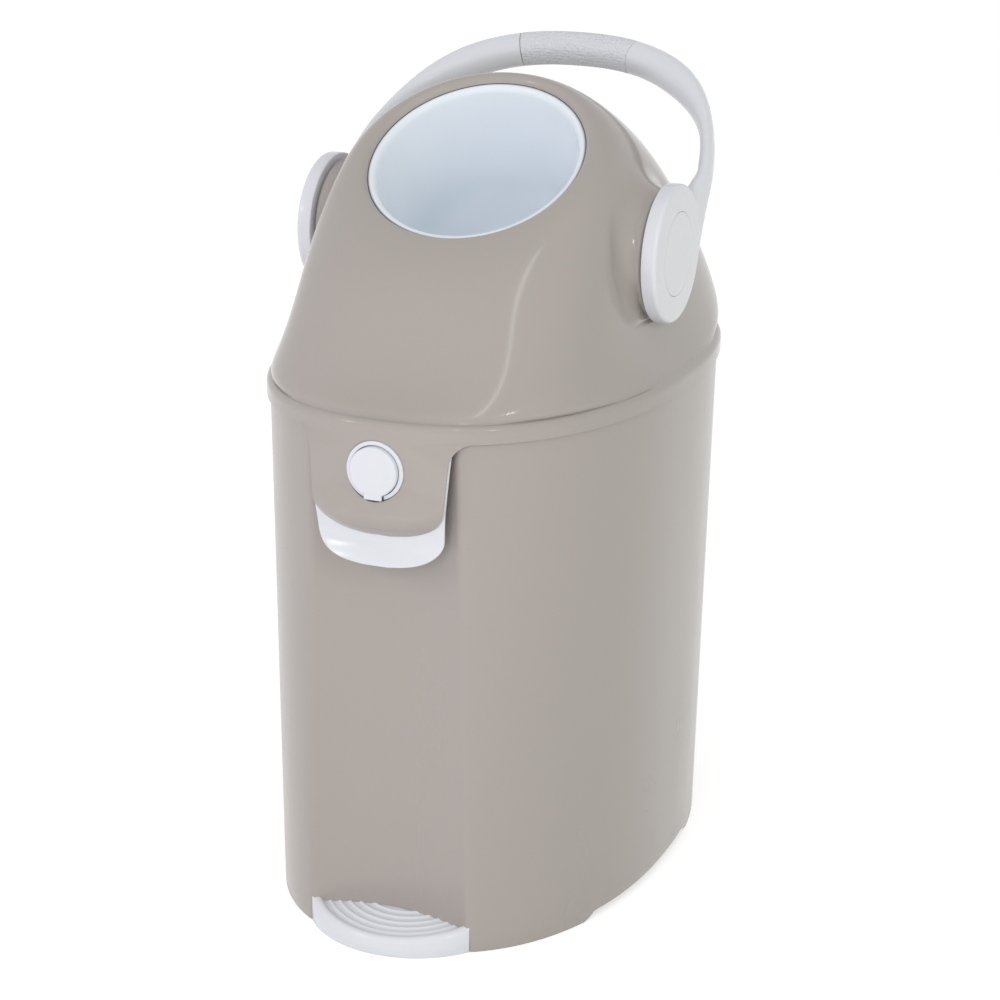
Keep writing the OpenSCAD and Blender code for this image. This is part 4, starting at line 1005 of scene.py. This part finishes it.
class NAPPY_OT_handle(bpy.types.Operator):
    """Model the bow handle with its hub discs and bare caps"""
    bl_idname = "nappy_bin.handle"
    bl_label = "Handle"

    def execute(self, context):
        edge = grip_edge()
        right = arm_root() + [arch_section(q) for q in range(10, 72, 5) if q < edge - 3]
        right = through(right + [arch_section(edge)], 5)
        core = [arch_section(mix(edge + 0.05, 179.95 - edge, i / 20), CORE_INSET)
                for i in range(21)]
        rows = right + core + [mirrored(ring) for ring in reversed(right)]
        bow = tidy(skin("bow", rows))
        close_ends(bow)
        hubs = [lay(turned("hub", self.hub(), 144), Matrix.Rotation(side * math.pi / 2, 4, "Y"))
                for side in (-1, 1)]
        handle = join(bow, *hubs)
        handle.name = handle.data.name = "handle_bow"
        lay(handle, ON_HANDLE)
        hand_over(handle, "drum", ["handle"], finish("white_gloss"))
        for side, name in ((-1, "left"), (1, "right")):
            cap = lay(turned("cap_" + name, self.cap(), 128),
                      Matrix.Translation((0, AXLE.x * MM, AXLE.y * MM))
                      @ Matrix.Rotation(side * math.pi / 2, 4, "Y"))
            hand_over(cap, "drum", ["hub_cap_" + name], finish("white_gloss"))
        return {"FINISHED"}

    def hub(self):
        """Section of a hub disc, with the seat of its cap."""
        seat = HUB_OUT - CAP_SEAT
        hub = [(0, HUB_IN), (HUB_R - 1, HUB_IN)] + arc(HUB_R - 1, HUB_IN + 1, 1, -90, 0, 4)
        hub += arc(HUB_R - HUB_ROUND, HUB_OUT - HUB_ROUND, HUB_ROUND, 0, 90, 10)
        return hub + [(CAP_R + 0.35, HUB_OUT), (CAP_R + 0.1, HUB_OUT - 0.2), (CAP_R + 0.1, seat),
                      (0, seat)]

    def cap(self):
        """Section of a hub cap."""
        r, seat = CAP_R - CAP_GAP, HUB_OUT - CAP_SEAT
        return ([(0, seat), (r, seat)] + arc(r - 0.3, HUB_OUT - 0.3, 0.3, 0, 90, 4)
                + [(CAP_R - 4, HUB_OUT), (0, HUB_OUT)])


class NAPPY_OT_grip(bpy.types.Operator):
    """Model the textured sleeve of the handle"""
    bl_idname = "nappy_bin.grip"
    bl_label = "Grip"

    def execute(self, context):
        edge = grip_edge() + 0.2
        rows = []
        for i in range(GRIP_STEPS + 1):
            q = mix(edge, 180 - edge, i / GRIP_STEPS)
            rows.append(arch_section(q, 0.35 if i in (0, GRIP_STEPS) else 0.0))
        rows += [arch_section(mix(180 - edge, edge, i / 20), CORE_INSET - 0.1) for i in range(21)]
        rows.append(rows[0])
        grip = lay(tidy(skin("grip", rows)), ON_HANDLE)
        hand_over(grip, "drum", ["handle_grip"], finish("grip_texture"))
        return {"FINISHED"}


# ---- finishes -------------------------------------------------------------------------
class Finish:
    """A moulded or metal surface, put together from procedural nodes."""

    def __init__(self, name, roughness, metallic=0.0, specular=0.5):
        self.material = bpy.data.materials.new(name)
        self.material.use_nodes = True
        self.tree = self.material.node_tree
        self.shader = self.tree.nodes["Principled BSDF"]
        self.shader.inputs["Roughness"].default_value = roughness
        self.shader.inputs["Metallic"].default_value = metallic
        self.shader.inputs["Specular IOR Level"].default_value = specular
        self.place = self.tree.nodes.new("ShaderNodeTexCoord").outputs["Object"]
        self.normal = None

    def add(self, kind, **inputs):
        """A new node with these input values; From_Min stands for its From Min."""
        node = self.tree.nodes.new(kind)
        for key, value in inputs.items():
            node.inputs[key.replace("_", " ")].default_value = value
        return node

    def noise(self, scale, detail=2.0, stretch=None):
        """A noise pattern; stretch scales it along the object's axes."""
        node = self.add("ShaderNodeTexNoise", Scale=scale, Detail=detail)
        source = self.place
        if stretch:
            mapping = self.add("ShaderNodeMapping", Scale=stretch)
            self.tree.links.new(source, mapping.inputs["Vector"])
            source = mapping.outputs["Vector"]
        self.tree.links.new(source, node.inputs["Vector"])
        return node.outputs["Fac"]

    def colour(self, base, spread, scale):
        """Lets the colour drift a little about base, as moulded plastic does."""
        blend = self.add("ShaderNodeMix")
        blend.data_type = "RGBA"
        blend.inputs["A"].default_value = (*[c * (1 - spread) for c in base], 1)
        blend.inputs["B"].default_value = (*[min(c * (1 + spread), 1) for c in base], 1)
        self.tree.links.new(self.noise(scale), blend.inputs["Factor"])
        self.tree.links.new(blend.outputs["Result"], self.shader.inputs["Base Color"])

    def vary_roughness(self, low, high, scale, stretch=None):
        """Lets the gloss drift between two roughnesses."""
        span = self.add("ShaderNodeMapRange", From_Min=0.3, From_Max=0.7, To_Min=low, To_Max=high)
        self.tree.links.new(self.noise(scale, 3, stretch), span.inputs["Value"])
        self.tree.links.new(span.outputs["Result"], self.shader.inputs["Roughness"])

    def bump(self, height, distance, strength=1.0):
        """Adds a relief, on top of any that is there."""
        node = self.add("ShaderNodeBump", Strength=strength, Distance=distance)
        self.tree.links.new(height, node.inputs["Height"])
        if self.normal:
            self.tree.links.new(self.normal, node.inputs["Normal"])
        self.normal = node.outputs["Normal"]
        self.tree.links.new(self.normal, self.shader.inputs["Normal"])


# Every maker takes the colours that a user can change; the rubber, the steel and the grey
# bushes have colours of their own.
def make_taupe_gloss(colours):
    f = Finish("taupe_gloss", 0.12)
    f.colour(colours.taupe, 0.012, 5)
    f.vary_roughness(0.1, 0.15, 14)
    f.bump(f.noise(11, 1, (1, 1, 0.5)), 0.0007, 0.35)
    f.bump(f.noise(1400, 1), 0.00001, 0.5)
    return f


def make_taupe_satin(colours):
    f = Finish("taupe_satin", 0.24)
    f.colour(colours.taupe, 0.012, 4)
    f.vary_roughness(0.2, 0.28, 18, (1, 1, 0.3))
    f.bump(f.noise(9, 1, (1, 1, 0.4)), 0.0006, 0.3)
    f.bump(f.noise(1600, 2), 0.00002, 0.6)
    return f


def make_white_gloss(colours):
    f = Finish("white_gloss", 0.16)
    f.colour(colours.white, 0.008, 8)
    f.vary_roughness(0.14, 0.22, 16)
    f.bump(f.noise(14, 1), 0.0004, 0.25)
    return f


def make_grip_texture(colours):
    f = Finish("grip_texture", 0.42)
    f.colour(colours.white, 0.01, 12)
    cells = f.add("ShaderNodeTexVoronoi", Scale=430.0, Randomness=0.6)
    f.tree.links.new(f.place, cells.inputs["Vector"])
    f.bump(cells.outputs["Distance"], 0.0009, 1.0)
    return f


def make_bowl_gloss(colours):
    f = Finish("bowl_gloss", 0.14)
    f.colour(colours.bowl, 0.01, 6)
    f.vary_roughness(0.12, 0.2, 12)
    f.bump(f.noise(9, 1), 0.0004, 0.2)
    return f


def make_bush_grey(colours):
    f = Finish("bush_grey", 0.45)
    f.colour((0.13, 0.13, 0.135), 0.05, 60)
    f.bump(f.noise(900, 2), 0.00002, 0.6)
    return f


def make_dark_rubber(colours):
    f = Finish("dark_rubber", 0.6, specular=0.35)
    f.colour((0.035, 0.035, 0.037), 0.12, 40)
    f.bump(f.noise(1200, 3), 0.00004, 0.8)
    return f


def make_zinc_steel(colours):
    f = Finish("zinc_steel", 0.3, metallic=1.0)
    f.colour((0.62, 0.62, 0.63), 0.06, 90)
    f.vary_roughness(0.24, 0.42, 240)
    f.bump(f.noise(700, 2, (1, 8, 1)), 0.00002, 0.5)
    return f


MAKERS = {
    "taupe_gloss": make_taupe_gloss, "taupe_satin": make_taupe_satin,
    "white_gloss": make_white_gloss, "grip_texture": make_grip_texture,
    "bowl_gloss": make_bowl_gloss, "bush_grey": make_bush_grey,
    "dark_rubber": make_dark_rubber, "zinc_steel": make_zinc_steel,
}


def finish(name):
    """The material of that name, made the first time it is asked for."""
    if name not in bpy.data.materials:
        MAKERS[name](bpy.context.scene.bin_colours)
    return bpy.data.materials[name]


# The parts that are shown as the frame has them, by the finish they get.
KEPT_NODES = {
    "white_gloss": ["latch_keeper", "lid_frame", "trunnion_left", "trunnion_right", "latch_hook"],
    "bush_grey": ["bush_left", "bush_right"],
    "dark_rubber": ["rim_gasket", "mouth_seal", "chute_seal"],
    "zinc_steel": ["foot_screws", "hinge_pin", "frame_screws", "tab_screws", "drum_screws",
                   "hub_screws", "button_spring", "hook_pin", "hook_spring"],
}


class NAPPY_OT_inner_parts(bpy.types.Operator):
    """Give the frame's own parts their finishes"""
    bl_idname = "nappy_bin.inner_parts"
    bl_label = "Inner parts"

    def execute(self, context):
        for name, nodes in KEPT_NODES.items():
            for node in nodes:
                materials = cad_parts[node].data.materials
                materials.clear()
                materials.append(finish(name))
        return {"FINISHED"}


# ---- stage ----------------------------------------------------------------------------
CAMERA_SIDE = Vector((0.92554287, 0.3783277, 0.01544501))
CAMERA_UP = Vector((-0.13052388, 0.28049272, 0.95094025))
CAMERA_AT = Vector((0.73470713, -1.82704725, 0.91848301))
CAMERA_LENS, SENSOR = 95.889, 36
AIM = (0, 0, 0.35)
ROSY, STRAW = (1.0, 0.975, 1.0), (0.98, 1.0, 0.82)
FLOOR_SIZE, FLOOR_WHITE, FLOOR_GLOW = 12, 0.86, 0.54
WORLD_COLOUR, WORLD_LIGHT = (1.0, 0.995, 1.0, 1), 0.53


def area_light(name, at, size, power, colour=(1, 1, 1)):
    """An area lamp that looks at the middle of the bin."""
    deselect()
    bpy.ops.object.light_add(type="AREA", location=at)
    lamp = bpy.context.object
    lamp.name = name
    lamp.data.shape = "RECTANGLE"
    lamp.data.size, lamp.data.size_y = size
    lamp.data.energy = power
    lamp.data.color = colour
    lamp.rotation_euler = (Vector(AIM) - Vector(at)).to_track_quat("-Z", "Y").to_euler()
    return lamp


def white_to_camera(tree, surface, white):
    """Shows the shader white to the camera, in reflections and through glass, and the shader
    surface to the light that falls on the bin."""
    path = tree.nodes.new("ShaderNodeLightPath")
    seen = path.outputs["Is Camera Ray"]
    for kind in ("Is Glossy Ray", "Is Transmission Ray"):
        either = tree.nodes.new("ShaderNodeMath")
        either.operation = "MAXIMUM"
        tree.links.new(seen, either.inputs[0])
        tree.links.new(path.outputs[kind], either.inputs[1])
        seen = either.outputs[0]
    blend = tree.nodes.new("ShaderNodeMixShader")
    tree.links.new(seen, blend.inputs["Fac"])
    tree.links.new(surface, blend.inputs[1])
    tree.links.new(white, blend.inputs[2])
    return blend.outputs["Shader"]


def floor_material():
    """A pale floor that keeps the bin's shadow, and glows where the camera sees it."""
    material = bpy.data.materials.new("floor_white")
    material.use_nodes = True
    tree = material.node_tree
    shader = tree.nodes["Principled BSDF"]
    shader.inputs["Base Color"].default_value = (FLOOR_WHITE, FLOOR_WHITE, FLOOR_WHITE, 1)
    shader.inputs["Roughness"].default_value = 0.9
    shader.inputs["Specular IOR Level"].default_value = 0.1
    glow = tree.nodes.new("ShaderNodeEmission")
    glow.inputs["Strength"].default_value = FLOOR_GLOW
    both = tree.nodes.new("ShaderNodeAddShader")
    tree.links.new(shader.outputs["BSDF"], both.inputs[0])
    tree.links.new(glow.outputs["Emission"], both.inputs[1])
    surface = white_to_camera(tree, shader.outputs["BSDF"], both.outputs["Shader"])
    tree.links.new(surface, tree.nodes["Material Output"].inputs["Surface"])
    return material


def light_world(scene):
    """An even, pale world that is plain white where the camera sees it."""
    scene.world = scene.world or bpy.data.worlds.new("studio")
    scene.world.use_nodes = True
    tree = scene.world.node_tree
    soft = tree.nodes["Background"]
    soft.inputs["Color"].default_value = WORLD_COLOUR
    soft.inputs["Strength"].default_value = WORLD_LIGHT
    plain = tree.nodes.new("ShaderNodeBackground")
    plain.inputs["Color"].default_value = (1, 1, 1, 1)
    plain.inputs["Strength"].default_value = 1.0
    surface = white_to_camera(tree, soft.outputs["Background"], plain.outputs["Background"])
    tree.links.new(surface, tree.nodes["World Output"].inputs["Surface"])


class NAPPY_OT_stage(bpy.types.Operator):
    """Set up the floor, the soft studio light and the camera"""
    bl_idname = "nappy_bin.stage"
    bl_label = "Stage"

    def execute(self, context):
        deselect()
        bpy.ops.mesh.primitive_plane_add(size=FLOOR_SIZE)
        floor = bpy.context.object
        floor.name = "floor"
        floor.data.transform(Matrix.Translation((0, 0, -0.2 * MM)))
        floor.data.materials.append(floor_material())
        light_world(context.scene)

        for lamp in (area_light("front", (0.1, -2.4, 0.9), (1.4, 1.4), 15, ROSY),
                     area_light("left", (-2.0, -1.0, 1.0), (1.2, 1.2), 4.4, ROSY),
                     area_light("right", (2.1, -0.6, 0.9), (1.2, 1.2), 6.2, STRAW)):
            lamp.visible_glossy = False
        area_light("left_box", (-1.3, -1.7, 1.3), (0.3, 0.2), 2.2)
        area_light("right_box", (1.6, -1.4, 1.35), (0.3, 0.2), 2.2)
        area_light("streak", (0.55, -1.25, 2.1), (0.08, 1.5), 1.6)

        bpy.ops.object.camera_add()
        camera = bpy.context.object
        camera.name = "view"
        camera.data.lens = CAMERA_LENS
        camera.data.sensor_width = SENSOR
        camera.data.clip_start = 0.05
        back = CAMERA_SIDE.cross(CAMERA_UP)
        camera.matrix_world = Matrix.Translation(CAMERA_AT) @ Matrix(
            (CAMERA_SIDE, CAMERA_UP, back)).transposed().to_4x4()
        context.scene.camera = camera
        context.scene.view_settings.view_transform = "Standard"
        return {"FINISHED"}


class NAPPY_PT_panel(bpy.types.Panel):
    """Lists the pieces of the bin"""
    bl_idname = "NAPPY_PT_panel"
    bl_label = "Nappy bin"
    bl_space_type = "VIEW_3D"
    bl_region_type = "UI"
    bl_category = "Nappy bin"

    def draw(self, context):
        for group in (context.scene.bin_sizes, context.scene.bin_colours):
            for key in group.__annotations__:
                self.layout.prop(group, key)
        for piece in PIECES:
            self.layout.operator(piece.bl_idname)


PIECES = (NAPPY_OT_pail, NAPPY_OT_foot_rest, NAPPY_OT_lid, NAPPY_OT_tab, NAPPY_OT_button,
          NAPPY_OT_drum, NAPPY_OT_bowl, NAPPY_OT_handle, NAPPY_OT_grip, NAPPY_OT_inner_parts,
          NAPPY_OT_stage)
CLASSES = (BinSizes, BinColours, *PIECES, NAPPY_PT_panel)


def register():
    for cls in CLASSES:
        bpy.utils.register_class(cls)
    bpy.types.Scene.bin_sizes = PointerProperty(type=BinSizes)
    bpy.types.Scene.bin_colours = PointerProperty(type=BinColours)


def unregister():
    del bpy.types.Scene.bin_colours
    del bpy.types.Scene.bin_sizes
    for cls in reversed(CLASSES):
        bpy.utils.unregister_class(cls)


def main():
    register()
    bpy.ops.nappy_bin.pail()
    bpy.ops.nappy_bin.foot_rest()
    bpy.ops.nappy_bin.lid()
    bpy.ops.nappy_bin.tab()
    bpy.ops.nappy_bin.button()
    bpy.ops.nappy_bin.drum()
    bpy.ops.nappy_bin.bowl()
    bpy.ops.nappy_bin.handle()
    bpy.ops.nappy_bin.grip()
    bpy.ops.nappy_bin.inner_parts()
    bpy.ops.nappy_bin.stage()


if __name__ == "__main__":
    main()
